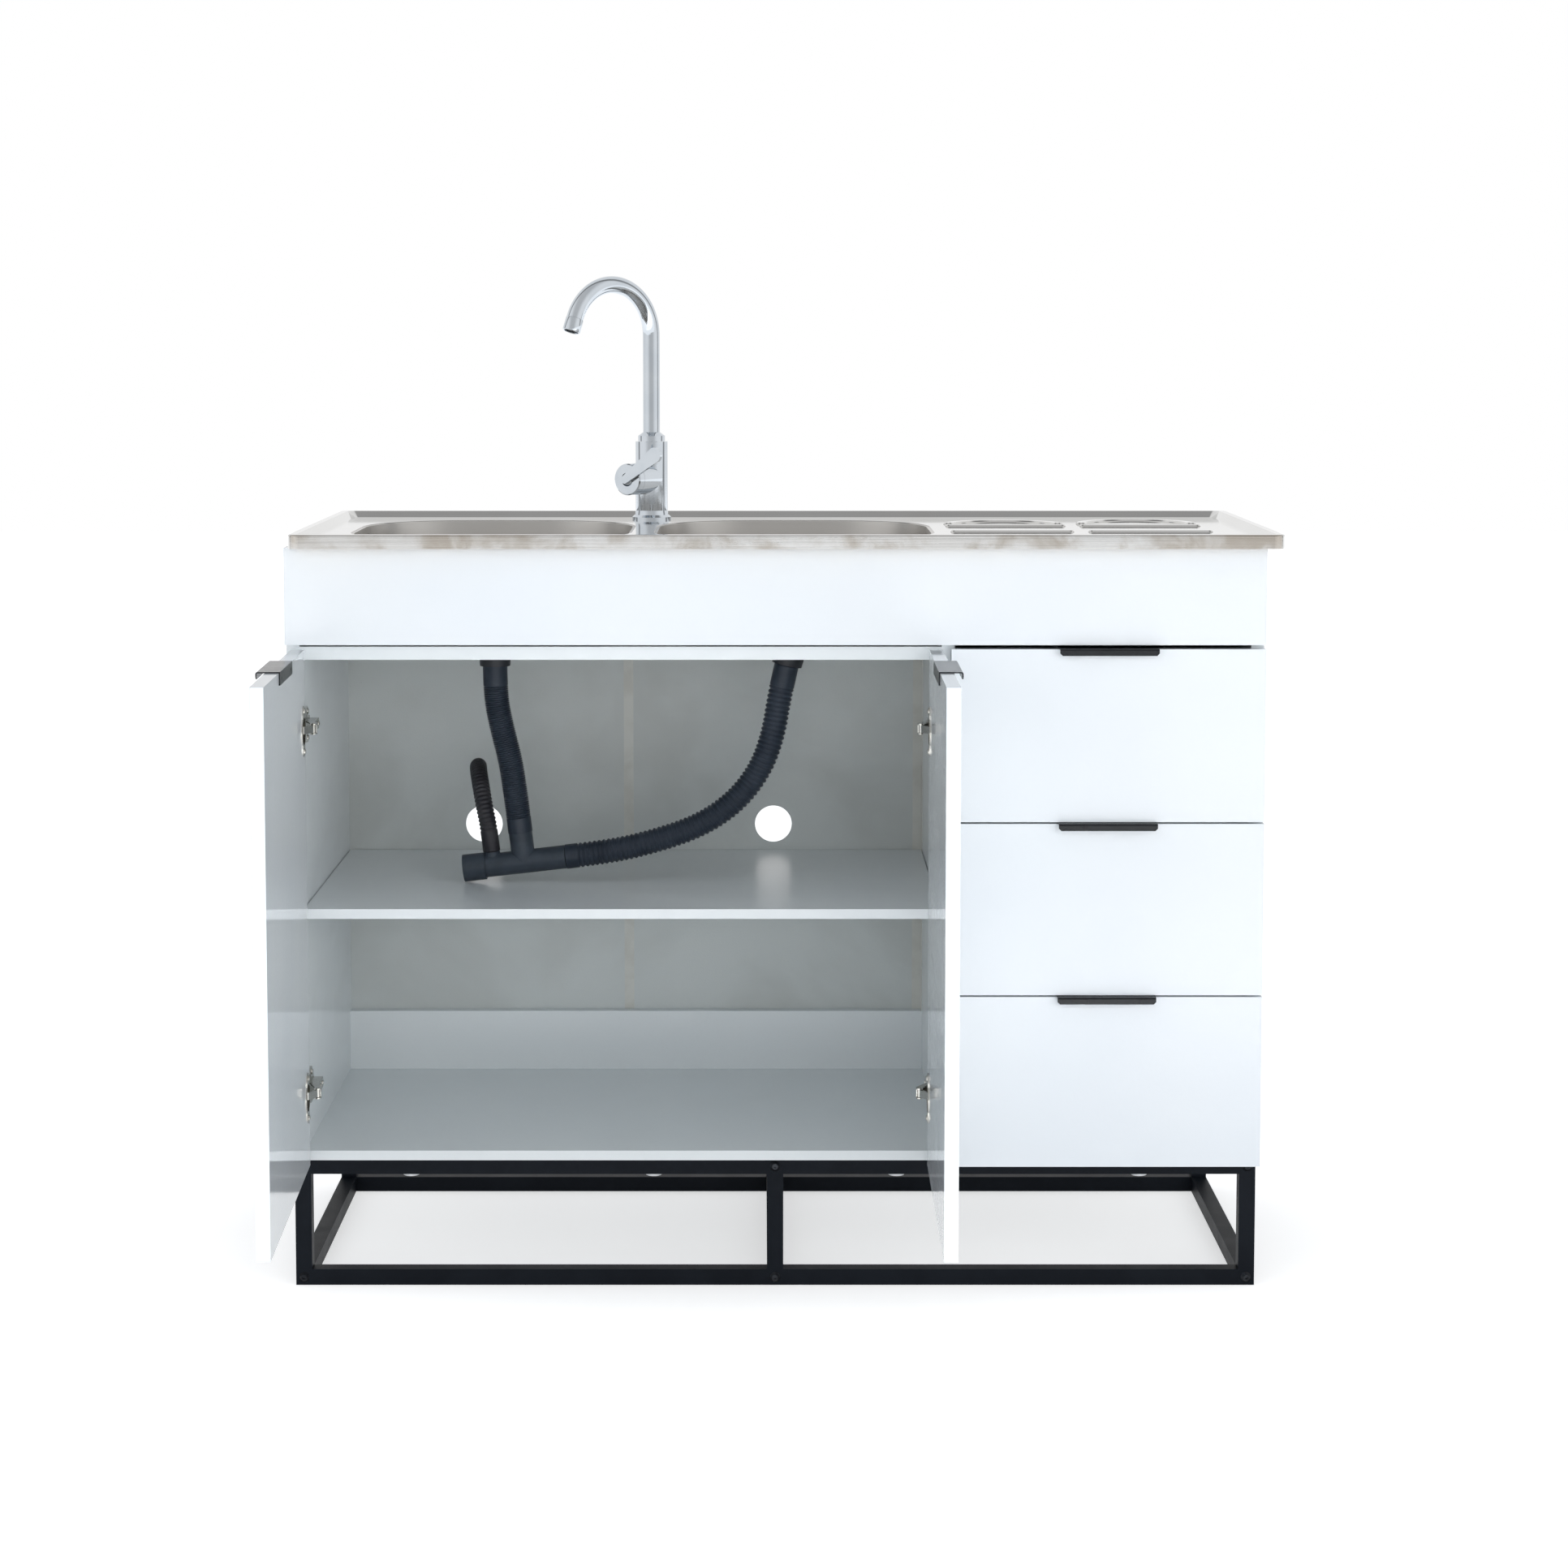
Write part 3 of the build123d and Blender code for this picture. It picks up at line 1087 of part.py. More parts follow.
def tap_body():
    """The column, its flared base and the side housing for the cartridge."""
    column = Pos(TAP_X, TAP_Y, DECK_Z) * turned([
        (0, 0),
        (TAP_BASE_RADIUS, 0),
        (TAP_BASE_RADIUS, TAP_BASE_HEIGHT / 2),
        (TAP_RADIUS + 1, TAP_BASE_HEIGHT),
        (TAP_RADIUS, TAP_BASE_HEIGHT * 2),
        (TAP_RADIUS, TAP_BODY_HEIGHT),
        (TAP_SPIGOT_RADIUS, TAP_BODY_HEIGHT),
        (TAP_SPIGOT_RADIUS, TAP_BODY_HEIGHT + TAP_SPIGOT_HEIGHT),
        (0, TAP_BODY_HEIGHT + TAP_SPIGOT_HEIGHT),
    ])
    housing = extrude(cartridge_plane(0) * Circle(HOUSING_RADIUS), CARTRIDGE_REACH)
    return column + housing


def tap_spout():
    """The swivel spout: collar, riser, round bend and the down-turned nose."""
    base_z = DECK_Z + TAP_BODY_HEIGHT + TAP_JOINT_PLAY
    riser_top = DECK_Z + SPOUT_RISE
    plane = tap_place(SPOUT_TURN, 0)
    sweep_angle = math.radians(SPOUT_SWEEP)
    bend_end = (
        SPOUT_BEND * (1 - math.cos(sweep_angle)),
        riser_top + SPOUT_BEND * math.sin(sweep_angle),
    )
    nose = (
        bend_end[0] + SPOUT_NOSE * math.sin(sweep_angle),
        bend_end[1] + SPOUT_NOSE * math.cos(sweep_angle),
    )
    half = sweep_angle / 2
    crest = (SPOUT_BEND * (1 - math.cos(half)), riser_top + SPOUT_BEND * math.sin(half))

    def at(point):
        return plane.from_local_coords((point[0], 0, point[1]))

    start = at((0, base_z + SPOUT_COLLAR_HEIGHT))
    path = Line(start, at((0, riser_top)))
    path += ThreePointArc(at((0, riser_top)), at(crest), at(bend_end))
    path += Line(at(bend_end), at(nose))
    across = Plane(origin=start, x_dir=plane.x_dir, z_dir=(0, 0, 1))
    tube = sweep(across * Circle(SPOUT_RADIUS), path)
    tube -= sweep(across * Circle(SPOUT_RADIUS - SPOUT_WALL), path)
    hole = TAP_SPIGOT_RADIUS + TAP_SPIGOT_PLAY
    collar = Pos(TAP_X, TAP_Y, base_z) * turned([
        (hole, 0),
        (SPOUT_COLLAR_RADIUS, 0),
        (SPOUT_COLLAR_RADIUS, SPOUT_COLLAR_HEIGHT * 0.6),
        (SPOUT_RADIUS, SPOUT_COLLAR_HEIGHT),
        (hole, SPOUT_COLLAR_HEIGHT),
    ])
    return tube + collar


def tap_cap():
    """The turning cap on the cartridge housing, with a hole in its face for the lever."""
    back = CARTRIDGE_REACH + TAP_JOINT_PLAY
    section = turned([
        (CAP_CAVITY, 0),
        (HOUSING_RADIUS, 0),
        (HOUSING_RADIUS, CAP_LENGTH - CAP_EDGE),
        (HOUSING_RADIUS - CAP_EDGE, CAP_LENGTH),
        (CAP_HOLE, CAP_LENGTH),
        (CAP_HOLE, CAP_LENGTH - CAP_FACE),
        (CAP_CAVITY, CAP_LENGTH - CAP_FACE),
    ])
    return cartridge_plane(back) * section


def tap_lever():
    """The ball and stem in the cap, and the paddle that lifts and turns."""
    pivot = CARTRIDGE_REACH + TAP_JOINT_PLAY + LEVER_BALL_RADIUS
    lever = Sphere(LEVER_BALL_RADIUS)
    stem_length = LEVER_STANDOFF + LEVER_SHEET / 2
    lever += Pos(0, 0, stem_length / 2) * Cylinder(LEVER_STEM_RADIUS, stem_length)
    root = LEVER_ROOT_WIDTH / 2
    tip = LEVER_LENGTH - root - LEVER_WIDTH / 2
    sides = make_face(Polyline([
        (0, -root), (tip, -LEVER_WIDTH / 2), (tip, LEVER_WIDTH / 2), (0, root),
    ], close=True))
    outline = sides + Circle(root) + Pos(tip, 0) * Circle(LEVER_WIDTH / 2)
    lever += Pos(0, 0, LEVER_STANDOFF) * extrude(outline, LEVER_SHEET)
    return cartridge_plane(pivot) * Rot(0, 0, LEVER_ANGLE) * lever


def tap_shank():
    """The threaded tail under the deck with its washer and nut, and two inlets in its foot."""
    foot = DECK_Z - SHANK_LENGTH
    shank = upright(TAP_X, TAP_Y, foot, SHANK_RADIUS, SHANK_LENGTH)
    for offset in (-INLET_OFFSET, INLET_OFFSET):
        shank -= upright(TAP_X + offset, TAP_Y, foot, INLET_RADIUS, INLET_DEPTH)
    bore = SHANK_RADIUS + NUT_PLAY
    washer_z = DECK_Z - SHEET - SHANK_WASHER
    washer = upright(TAP_X, TAP_Y, washer_z, SHANK_WASHER_RADIUS, SHANK_WASHER)
    washer -= upright(TAP_X, TAP_Y, washer_z, bore, SHANK_WASHER)
    nut_z = washer_z - SHANK_NUT_HEIGHT
    nut = Pos(TAP_X, TAP_Y, nut_z) * extrude(RegularPolygon(SHANK_NUT_RADIUS, 6), SHANK_NUT_HEIGHT)
    nut -= upright(TAP_X, TAP_Y, nut_z, bore, SHANK_NUT_HEIGHT)
    return group([shank, washer, nut])


# ---- Everything -----------------------------------------------------------------------
def save_frame():
    """The welded frame and its fixings."""
    save("front_frame", end_frame(FRAME_FRONT_Y))
    save("rear_frame", end_frame(FRAME_BACK_Y - TUBE))
    save("cross_rails", cross_rails())
    save("frame_bolts", frame_bolts())
    save("screw_caps", screw_caps())


def save_carcass():
    """The boards, shelf and back."""
    save("left_side", drill_for_pins(side_board(-HALF_WIDTH)))
    save("right_side", side_board(INNER_RIGHT_X))
    save("partition", partition())
    save("bottom_board", bottom_board())
    save("shelf", shelf())
    save("shelf_pins", shelf_pins())
    save("front_stretcher", front_stretcher())
    save("carcass_rails", carcass_rails())
    save("false_front", false_front())
    half_gap = BACK_SPLIT_GAP / 2
    save("back_panel_left", back_panel((INNER_LEFT_X, BACK_SPLIT_X - half_gap), PIPE_HOLE_XS[0]))
    save("back_panel_right", back_panel((BACK_SPLIT_X + half_gap, INNER_RIGHT_X), PIPE_HOLE_XS[1]))
    save("back_strips", back_strips())


def save_sink():
    """The sink top with its bowls, wastes and tap."""
    save("sink_deck", sink_deck())
    save("left_bowl", bowl(BOWL_XS[0], WASTE_XS[0]))
    save("right_bowl", bowl(BOWL_XS[1], WASTE_XS[1]))
    save("sink_battens", sink_battens())
    save("waste_bodies", group(waste_body(x, lean) for x, lean in zip(WASTE_XS, WASTE_LEANS)))
    save("waste_nuts", waste_nuts())
    save("left_basket", waste_basket(WASTE_XS[0]))
    save("right_basket", waste_basket(WASTE_XS[1]))
    save("tap_body", tap_body())
    save("tap_spout", tap_spout())
    save("tap_cap", tap_cap())
    save("tap_lever", tap_lever())
    save("tap_shank", tap_shank())


def save_pipes():
    """The collector on the shelf and the hoses that hang into it."""
    save("collector", collector())
    left, right, overflow = hose_routes()
    save("left_hose", ribbed_hose(
        left, (0, 1, 0), HOSE_RADIUS, HOSE_ROOT, HOSE_CUFF_RADIUS,
        LEFT_HOSE_BORE, LEFT_HOSE_CUFFS, LEFT_HOSE_RIBS, LEFT_HOSE_NECK,
    ))
    save("right_hose", ribbed_hose(
        right, (0, 1, 0), HOSE_RADIUS, HOSE_ROOT, HOSE_CUFF_RADIUS,
        RIGHT_HOSE_BORE, RIGHT_HOSE_CUFFS, RIGHT_HOSE_RIBS,
    ))
    save("overflow_hose", ribbed_hose(
        overflow, (1, 0, 0), SMALL_HOSE_RADIUS, SMALL_HOSE_ROOT, SMALL_HOSE_RADIUS,
        SMALL_HOSE_BORE, SMALL_HOSE_CUFFS, SMALL_HOSE_RIBS,
    ))


def main():
    os.makedirs("parts", exist_ok=True)
    save_frame()
    save_carcass()
    save_door("left", -HALF_WIDTH, 1, BOARD, LEFT_DOOR_ANGLE)
    save_door("right", PARTITION_X, -1, BOARD / 2, RIGHT_DOOR_ANGLE)
    save_drawers()
    save_sink()
    save_pipes()


main()
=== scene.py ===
"""Looks of the kitchen sink unit: finishes for its solids, ribbed hoses, strainers, fixings, studio and camera."""

import math

import bmesh
import bpy
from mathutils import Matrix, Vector


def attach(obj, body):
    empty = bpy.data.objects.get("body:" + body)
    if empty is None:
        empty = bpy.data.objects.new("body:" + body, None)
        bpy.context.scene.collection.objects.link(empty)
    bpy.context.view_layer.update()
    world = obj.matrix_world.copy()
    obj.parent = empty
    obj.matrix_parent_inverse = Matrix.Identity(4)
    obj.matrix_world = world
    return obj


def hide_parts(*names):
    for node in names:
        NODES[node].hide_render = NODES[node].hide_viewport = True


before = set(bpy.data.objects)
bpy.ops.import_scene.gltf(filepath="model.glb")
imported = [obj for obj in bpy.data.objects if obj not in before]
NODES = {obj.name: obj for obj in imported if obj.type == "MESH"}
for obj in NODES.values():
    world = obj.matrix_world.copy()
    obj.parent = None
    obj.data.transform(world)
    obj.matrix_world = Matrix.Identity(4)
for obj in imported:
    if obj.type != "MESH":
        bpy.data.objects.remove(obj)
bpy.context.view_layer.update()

# ---- Objects and the camera -----------------------------------------------------------


def placed(name, data):
    """A new object with this data, in the scene."""
    thing = bpy.data.objects.new(name, data)
    bpy.context.scene.collection.objects.link(thing)
    return thing


FOCAL_MM, SENSOR_MM = 71.675, 36.0
LENS_SHIFT = (0.01433, -0.13)
CAMERA_PLACE = (-0.0168, -4.003, 1.1833)
CAMERA_DOWN = 4.648  # degrees below level
CLIP_NEAR, CLIP_FAR = 0.1, 60.0


def place_camera():
    """The photograph's viewpoint: a slight tilt down and a lens shift."""
    lens = bpy.data.cameras.new("photo_camera")
    lens.sensor_width = SENSOR_MM
    lens.lens = FOCAL_MM
    lens.shift_x, lens.shift_y = LENS_SHIFT
    lens.clip_start, lens.clip_end = CLIP_NEAR, CLIP_FAR
    camera = placed("photo_camera", lens)
    camera.location = CAMERA_PLACE
    camera.rotation_euler = (math.radians(90.0 - CAMERA_DOWN), 0.0, 0.0)
    bpy.context.scene.camera = camera


place_camera()

# ---- Node helpers ---------------------------------------------------------------------


def srgb(red, green, blue):
    """A colour given in 0 to 255 as it looks on screen, in the renderer's linear numbers."""
    linear = []
    for value in (red, green, blue):
        share = value / 255.0
        linear.append(share / 12.92 if share <= 0.04045 else ((share + 0.055) / 1.055) ** 2.4)
    return (*linear, 1.0)


def put(tree, kind, **settings):
    """A new node with its settings. A key that names an input sets that input's value."""
    node = tree.nodes.new(kind)
    for key, value in settings.items():
        if hasattr(node, key) and key not in ("inputs", "outputs"):
            setattr(node, key, value)
        else:
            node.inputs[key.replace("_", " ")].default_value = value
    return node


def wire(tree, *pairs):
    """Links output sockets to input sockets, two by two."""
    for start, end in zip(pairs[::2], pairs[1::2]):
        tree.links.new(start, end)


def arithmetic(tree, operation, first, second=None, third=None, clamp=False):
    """A Math node fed by sockets or plain numbers. Returns its output."""
    node = tree.nodes.new("ShaderNodeMath")
    node.operation = operation
    node.use_clamp = clamp
    for slot, value in enumerate((first, second, third)):
        if value is None:
            continue
        if isinstance(value, (int, float)):
            node.inputs[slot].default_value = value
        else:
            tree.links.new(value, node.inputs[slot])
    return node.outputs[0]


def ranged(tree, value, low, high, to_low=0.0, to_high=1.0, kind="SMOOTHSTEP"):
    """A value carried from one range to another by a Map Range node. Returns its output."""
    node = put(tree, "ShaderNodeMapRange", interpolation_type=kind)
    limits = {"From Min": low, "From Max": high, "To Min": to_low, "To Max": to_high}
    for label, number in limits.items():
        node.inputs[label].default_value = number
    wire(tree, value, node.inputs["Value"])
    return node.outputs["Result"]


def shader_group(name, inputs, outputs):
    """An empty shader node group with named sockets, as (group, its input node, its output node)."""
    group = bpy.data.node_groups.new(name, "ShaderNodeTree")
    for label, kind, value in inputs:
        socket = group.interface.new_socket(label, in_out="INPUT", socket_type=kind)
        socket.default_value = value
    for label, kind in outputs:
        group.interface.new_socket(label, in_out="OUTPUT", socket_type=kind)
    return group, group.nodes.new("NodeGroupInput"), group.nodes.new("NodeGroupOutput")


FLOAT, COLOUR, VECTOR = "NodeSocketFloat", "NodeSocketColor", "NodeSocketVector"

# ---- Shared surface effects -----------------------------------------------------------


def make_clouding():
    """Slow, faint drift between two colours."""
    group, given, result = shader_group(
        "clouding",
        [
            ("Main", COLOUR, (0.8, 0.8, 0.8, 1)), ("Drift", COLOUR, (0.7, 0.7, 0.7, 1)),
            ("Scale", FLOAT, 4.0), ("Amount", FLOAT, 0.5),
        ],
        [("Colour", COLOUR)],
    )
    place = put(group, "ShaderNodeTexCoord")
    noise = put(group, "ShaderNodeTexNoise", Detail=4.0, Roughness=0.55, Distortion=0.4)
    spread = ranged(group, noise.outputs["Fac"], 0.38, 0.66)
    mask = arithmetic(group, "MULTIPLY", spread, given.outputs["Amount"])
    mix = put(group, "ShaderNodeMix", data_type="RGBA")
    wire(
        group,
        place.outputs["Object"], noise.inputs["Vector"],
        given.outputs["Scale"], noise.inputs["Scale"],
        mask, mix.inputs["Factor"],
        given.outputs["Main"], mix.inputs["A"],
        given.outputs["Drift"], mix.inputs["B"],
        mix.outputs["Result"], result.inputs["Colour"],
    )
    return group


def make_speckling():
    """Fine specks of a second colour, as in pressed board and recycled plastic."""
    group, given, result = shader_group(
        "speckling",
        [
            ("Main", COLOUR, (0.8, 0.8, 0.8, 1)), ("Speck", COLOUR, (0.3, 0.3, 0.3, 1)),
            ("Scale", FLOAT, 400.0), ("Amount", FLOAT, 0.3), ("Threshold", FLOAT, 0.62),
        ],
        [("Colour", COLOUR)],
    )
    place = put(group, "ShaderNodeTexCoord")
    noise = put(group, "ShaderNodeTexNoise", Detail=2.0, Roughness=0.7)
    over = arithmetic(group, "SUBTRACT", noise.outputs["Fac"], given.outputs["Threshold"])
    sharp = arithmetic(group, "MULTIPLY", over, 9.0, clamp=True)
    mask = arithmetic(group, "MULTIPLY", sharp, given.outputs["Amount"])
    mix = put(group, "ShaderNodeMix", data_type="RGBA")
    wire(
        group,
        place.outputs["Object"], noise.inputs["Vector"],
        given.outputs["Scale"], noise.inputs["Scale"],
        mask, mix.inputs["Factor"],
        given.outputs["Main"], mix.inputs["A"],
        given.outputs["Speck"], mix.inputs["B"],
        mix.outputs["Result"], result.inputs["Colour"],
    )
    return group


def make_wiping():
    """Roughness that varies a little, as where a cloth or a hand has passed."""
    group, given, result = shader_group(
        "wiping",
        [("Roughness", FLOAT, 0.2), ("Spread", FLOAT, 0.05), ("Scale", FLOAT, 9.0)],
        [("Roughness", FLOAT)],
    )
    place = put(group, "ShaderNodeTexCoord")
    turn = put(group, "ShaderNodeMapping")
    turn.inputs["Rotation"].default_value = (0.3, 0.5, 0.7)
    turn.inputs["Scale"].default_value = (1.0, 1.0, 2.6)
    noise = put(group, "ShaderNodeTexNoise", Detail=5.0, Roughness=0.6, Distortion=1.1)
    swing = arithmetic(group, "SUBTRACT", noise.outputs["Fac"], 0.5)
    swing = arithmetic(group, "MULTIPLY", swing, given.outputs["Spread"])
    swing = arithmetic(group, "MULTIPLY", swing, 2.0)
    total = arithmetic(group, "ADD", given.outputs["Roughness"], swing, clamp=True)
    wire(
        group,
        place.outputs["Object"], turn.inputs["Vector"],
        turn.outputs["Vector"], noise.inputs["Vector"],
        given.outputs["Scale"], noise.inputs["Scale"],
        total, result.inputs["Roughness"],
    )
    return group


def make_pebbling():
    """Height of a fine pebbled skin: powder coat, moulded plastic or foil, on a slow wave."""
    group, given, result = shader_group(
        "pebbling",
        [("Scale", FLOAT, 900.0), ("Wave Scale", FLOAT, 14.0), ("Wave", FLOAT, 0.2)],
        [("Height", FLOAT)],
    )
    place = put(group, "ShaderNodeTexCoord")
    fine = put(group, "ShaderNodeTexNoise", Detail=1.0, Roughness=0.5)
    slow = put(group, "ShaderNodeTexNoise", Detail=2.0, Roughness=0.45)
    wave = arithmetic(group, "MULTIPLY", slow.outputs["Fac"], given.outputs["Wave"])
    total = arithmetic(group, "ADD", fine.outputs["Fac"], wave)
    wire(
        group,
        place.outputs["Object"], fine.inputs["Vector"],
        place.outputs["Object"], slow.inputs["Vector"],
        given.outputs["Scale"], fine.inputs["Scale"],
        given.outputs["Wave Scale"], slow.inputs["Scale"],
        total, result.inputs["Height"],
    )
    return group


def make_brushing():
    """Fine drawn lines in sheet steel: a height, and a roughness that follows the lines."""
    group, given, result = shader_group(
        "brushing",
        [
            ("Stretch", VECTOR, (4.0, 500.0, 500.0)), ("Roughness", FLOAT, 0.25), ("Spread", FLOAT, 0.08),
            ("Ripple", FLOAT, 0.4), ("Ripple Scale", FLOAT, 9.0),
        ],
        [("Roughness", FLOAT), ("Height", FLOAT)],
    )
    place = put(group, "ShaderNodeTexCoord")
    stretched = put(group, "ShaderNodeVectorMath", operation="MULTIPLY")
    lines = put(group, "ShaderNodeTexNoise", Scale=1.0, Detail=3.0, Roughness=0.6)
    ripple = put(group, "ShaderNodeTexNoise", Detail=2.0, Roughness=0.5)
    swing = arithmetic(group, "SUBTRACT", lines.outputs["Fac"], 0.5)
    swing = arithmetic(group, "MULTIPLY", swing, given.outputs["Spread"])
    swing = arithmetic(group, "MULTIPLY", swing, 2.0)
    total = arithmetic(group, "ADD", given.outputs["Roughness"], swing, clamp=True)
    fine = arithmetic(group, "MULTIPLY", lines.outputs["Fac"], 0.05)
    slow = arithmetic(group, "MULTIPLY", ripple.outputs["Fac"], given.outputs["Ripple"])
    height = arithmetic(group, "ADD", fine, slow)
    wire(
        group,
        place.outputs["Object"], stretched.inputs[0],
        given.outputs["Stretch"], stretched.inputs[1],
        stretched.outputs["Vector"], lines.inputs["Vector"],
        place.outputs["Object"], ripple.inputs["Vector"],
        given.outputs["Ripple Scale"], ripple.inputs["Scale"],
        total, result.inputs["Roughness"],
        height, result.inputs["Height"],
    )
    return group


def make_painted_edge_tone():
    """Patches of a second colour along sharp edges: a painted highlight on the dark coats, a darker edge on the
    white runner coat.
    """
    group, given, result = shader_group(
        "painted_edge_tone",
        [
            ("Main", COLOUR, (0.02, 0.02, 0.02, 1)), ("Rubbed", COLOUR, (0.2, 0.2, 0.2, 1)),
            ("Width", FLOAT, 0.0008), ("Amount", FLOAT, 0.5),
        ],
        [("Colour", COLOUR)],
    )
    rounded = put(group, "ShaderNodeBevel", samples=4)
    facing = put(group, "ShaderNodeNewGeometry")
    likeness = put(group, "ShaderNodeVectorMath", operation="DOT_PRODUCT")
    turn = arithmetic(group, "SUBTRACT", 1.0, likeness.outputs["Value"])
    turn = arithmetic(group, "MULTIPLY", turn, 7.0, clamp=True)
    place = put(group, "ShaderNodeTexCoord")
    patches = put(group, "ShaderNodeTexNoise", Scale=60.0, Detail=3.0)
    patchy = arithmetic(group, "MULTIPLY", turn, patches.outputs["Fac"])
    mask = arithmetic(group, "MULTIPLY", patchy, given.outputs["Amount"], clamp=True)
    mix = put(group, "ShaderNodeMix", data_type="RGBA")
    wire(
        group,
        given.outputs["Width"], rounded.inputs["Radius"],
        rounded.outputs["Normal"], likeness.inputs[0],
        facing.outputs["Normal"], likeness.inputs[1],
        place.outputs["Object"], patches.inputs["Vector"],
        mask, mix.inputs["Factor"],
        given.outputs["Main"], mix.inputs["A"],
        given.outputs["Rubbed"], mix.inputs["B"],
        mix.outputs["Result"], result.inputs["Colour"],
    )
    return group


CLOUDING = make_clouding()
SPECKLING = make_speckling()
WIPING = make_wiping()
PEBBLING = make_pebbling()
BRUSHING = make_brushing()
PAINTED_EDGE_TONE = make_painted_edge_tone()

# ---- Materials ------------------------------------------------------------------------


def effect(tree, group, **values):
    """A shared effect placed in a material with its own values."""
    node = tree.nodes.new("ShaderNodeGroup")
    node.node_tree = group
    for key, value in values.items():
        node.inputs[key.replace("_", " ")].default_value = value
    return node


def new_material(name, **plain):
    """A material with its Principled shader's plain values set, as (material, tree, shader)."""
    material = bpy.data.materials.new(name)
    material.use_nodes = True
    tree = material.node_tree
    shader = tree.nodes["Principled BSDF"]
    for key, value in plain.items():
        shader.inputs[key.replace("_", " ")].default_value = value
    return material, tree, shader


def dress(tree, shader, colour, roughness, height, strength, distance):
    """Feeds a shader its colour, its roughness and, through a Bump node, its raised skin."""
    bump = put(tree, "ShaderNodeBump", Strength=strength, Distance=distance)
    wire(
        tree,
        colour, shader.inputs["Base Color"],
        roughness, shader.inputs["Roughness"],
        height, bump.inputs["Height"],
        bump.outputs["Normal"], shader.inputs["Normal"],
    )


def gloss_lacquer():
    """High-gloss white lacquer of the fronts: faint waves in the reflection, wiped patches."""
    material, tree, shader = new_material("gloss_lacquer", IOR=1.48, Specular_IOR_Level=0.5)
    tone = effect(tree, CLOUDING, Main=srgb(238, 243, 247), Drift=srgb(233, 239, 245), Scale=2.2, Amount=0.7)
    wiped = effect(tree, WIPING, Roughness=0.07, Spread=0.035, Scale=5.0)
    skin = effect(tree, PEBBLING, Scale=260.0, Wave_Scale=7.0, Wave=1.4)
    dress(
        tree, shader, tone.outputs["Colour"], wiped.outputs["Roughness"],
        skin.outputs["Height"], 0.05, 0.001,
    )
    return material


def speckled_coat(name, plain, tone, specks, wiped, skin, strength, distance):
    """A drifting colour with fine specks, wiped roughness and a pebbled skin."""
    material, tree, shader = new_material(name, **plain)
    tone = effect(tree, CLOUDING, **tone)
    specks = effect(tree, SPECKLING, **specks)
    wiped = effect(tree, WIPING, **wiped)
    skin = effect(tree, PEBBLING, **skin)
    wire(tree, tone.outputs["Colour"], specks.inputs["Main"])
    dress(
        tree, shader, specks.outputs["Colour"], wiped.outputs["Roughness"],
        skin.outputs["Height"], strength, distance,
    )
    return material


def foil_board():
    """Satin white foil on the carcass boards, with a fine grain and a few handling marks."""
    return speckled_coat(
        "foil_board", dict(IOR=1.5),
        tone=dict(Main=srgb(232, 237, 239), Drift=srgb(226, 232, 234), Scale=2.0, Amount=0.6),
        specks=dict(Speck=srgb(196, 202, 205), Scale=900.0, Amount=0.35, Threshold=0.64),
        wiped=dict(Roughness=0.22, Spread=0.04, Scale=5.0),
        skin=dict(Scale=1300.0, Wave_Scale=20.0, Wave=0.3),
        strength=0.1, distance=0.0006,
    )


def painted_hardboard():
    """Grey-white paint on thin hardboard, slightly stained, with its fibre showing through."""
    return speckled_coat(
        "painted_hardboard", dict(IOR=1.45),
        tone=dict(Main=srgb(206, 211, 210), Drift=srgb(192, 196, 194), Scale=3.4, Amount=0.9),
        specks=dict(Speck=srgb(160, 158, 150), Scale=420.0, Amount=0.35, Threshold=0.66),
        wiped=dict(Roughness=0.48, Spread=0.08, Scale=5.0),
        skin=dict(Scale=700.0, Wave_Scale=9.0, Wave=0.5),
        strength=0.2, distance=0.0006,
    )


def moulded_plastic(name, main, drift, roughness):
    """Moulded plastic with a fine skin, a little dust and paler scuffs."""
    return speckled_coat(
        name, dict(IOR=1.47, Specular_IOR_Level=0.3),
        tone=dict(Main=main, Drift=drift, Scale=26.0, Amount=0.75),
        specks=dict(Speck=drift, Scale=1500.0, Amount=0.4, Threshold=0.66),
        wiped=dict(Roughness=roughness, Spread=0.09, Scale=30.0),
        skin=dict(Scale=1400.0, Wave_Scale=90.0, Wave=0.4),
        strength=0.16, distance=0.0004,
    )


def pressed_chips():
    """Raw particle board of the battens under the sink top."""
    material, tree, shader = new_material("pressed_chips", IOR=1.4)
    place = put(tree, "ShaderNodeTexCoord")
    chips = put(tree, "ShaderNodeTexVoronoi", Scale=330.0, Randomness=1.0)
    ramp = put(tree, "ShaderNodeValToRGB")
    ramp.color_ramp.elements[0].color = srgb(150, 122, 88)
    ramp.color_ramp.elements[1].color = srgb(208, 184, 148)
    wiped = effect(tree, WIPING, Roughness=0.8, Spread=0.1, Scale=60.0)
    wire(tree, place.outputs["Object"], chips.inputs["Vector"], chips.outputs["Color"], ramp.inputs["Fac"])
    dress(
        tree, shader, ramp.outputs["Color"], wiped.outputs["Roughness"],
        chips.outputs["Distance"], 0.5, 0.0008,
    )
    return material


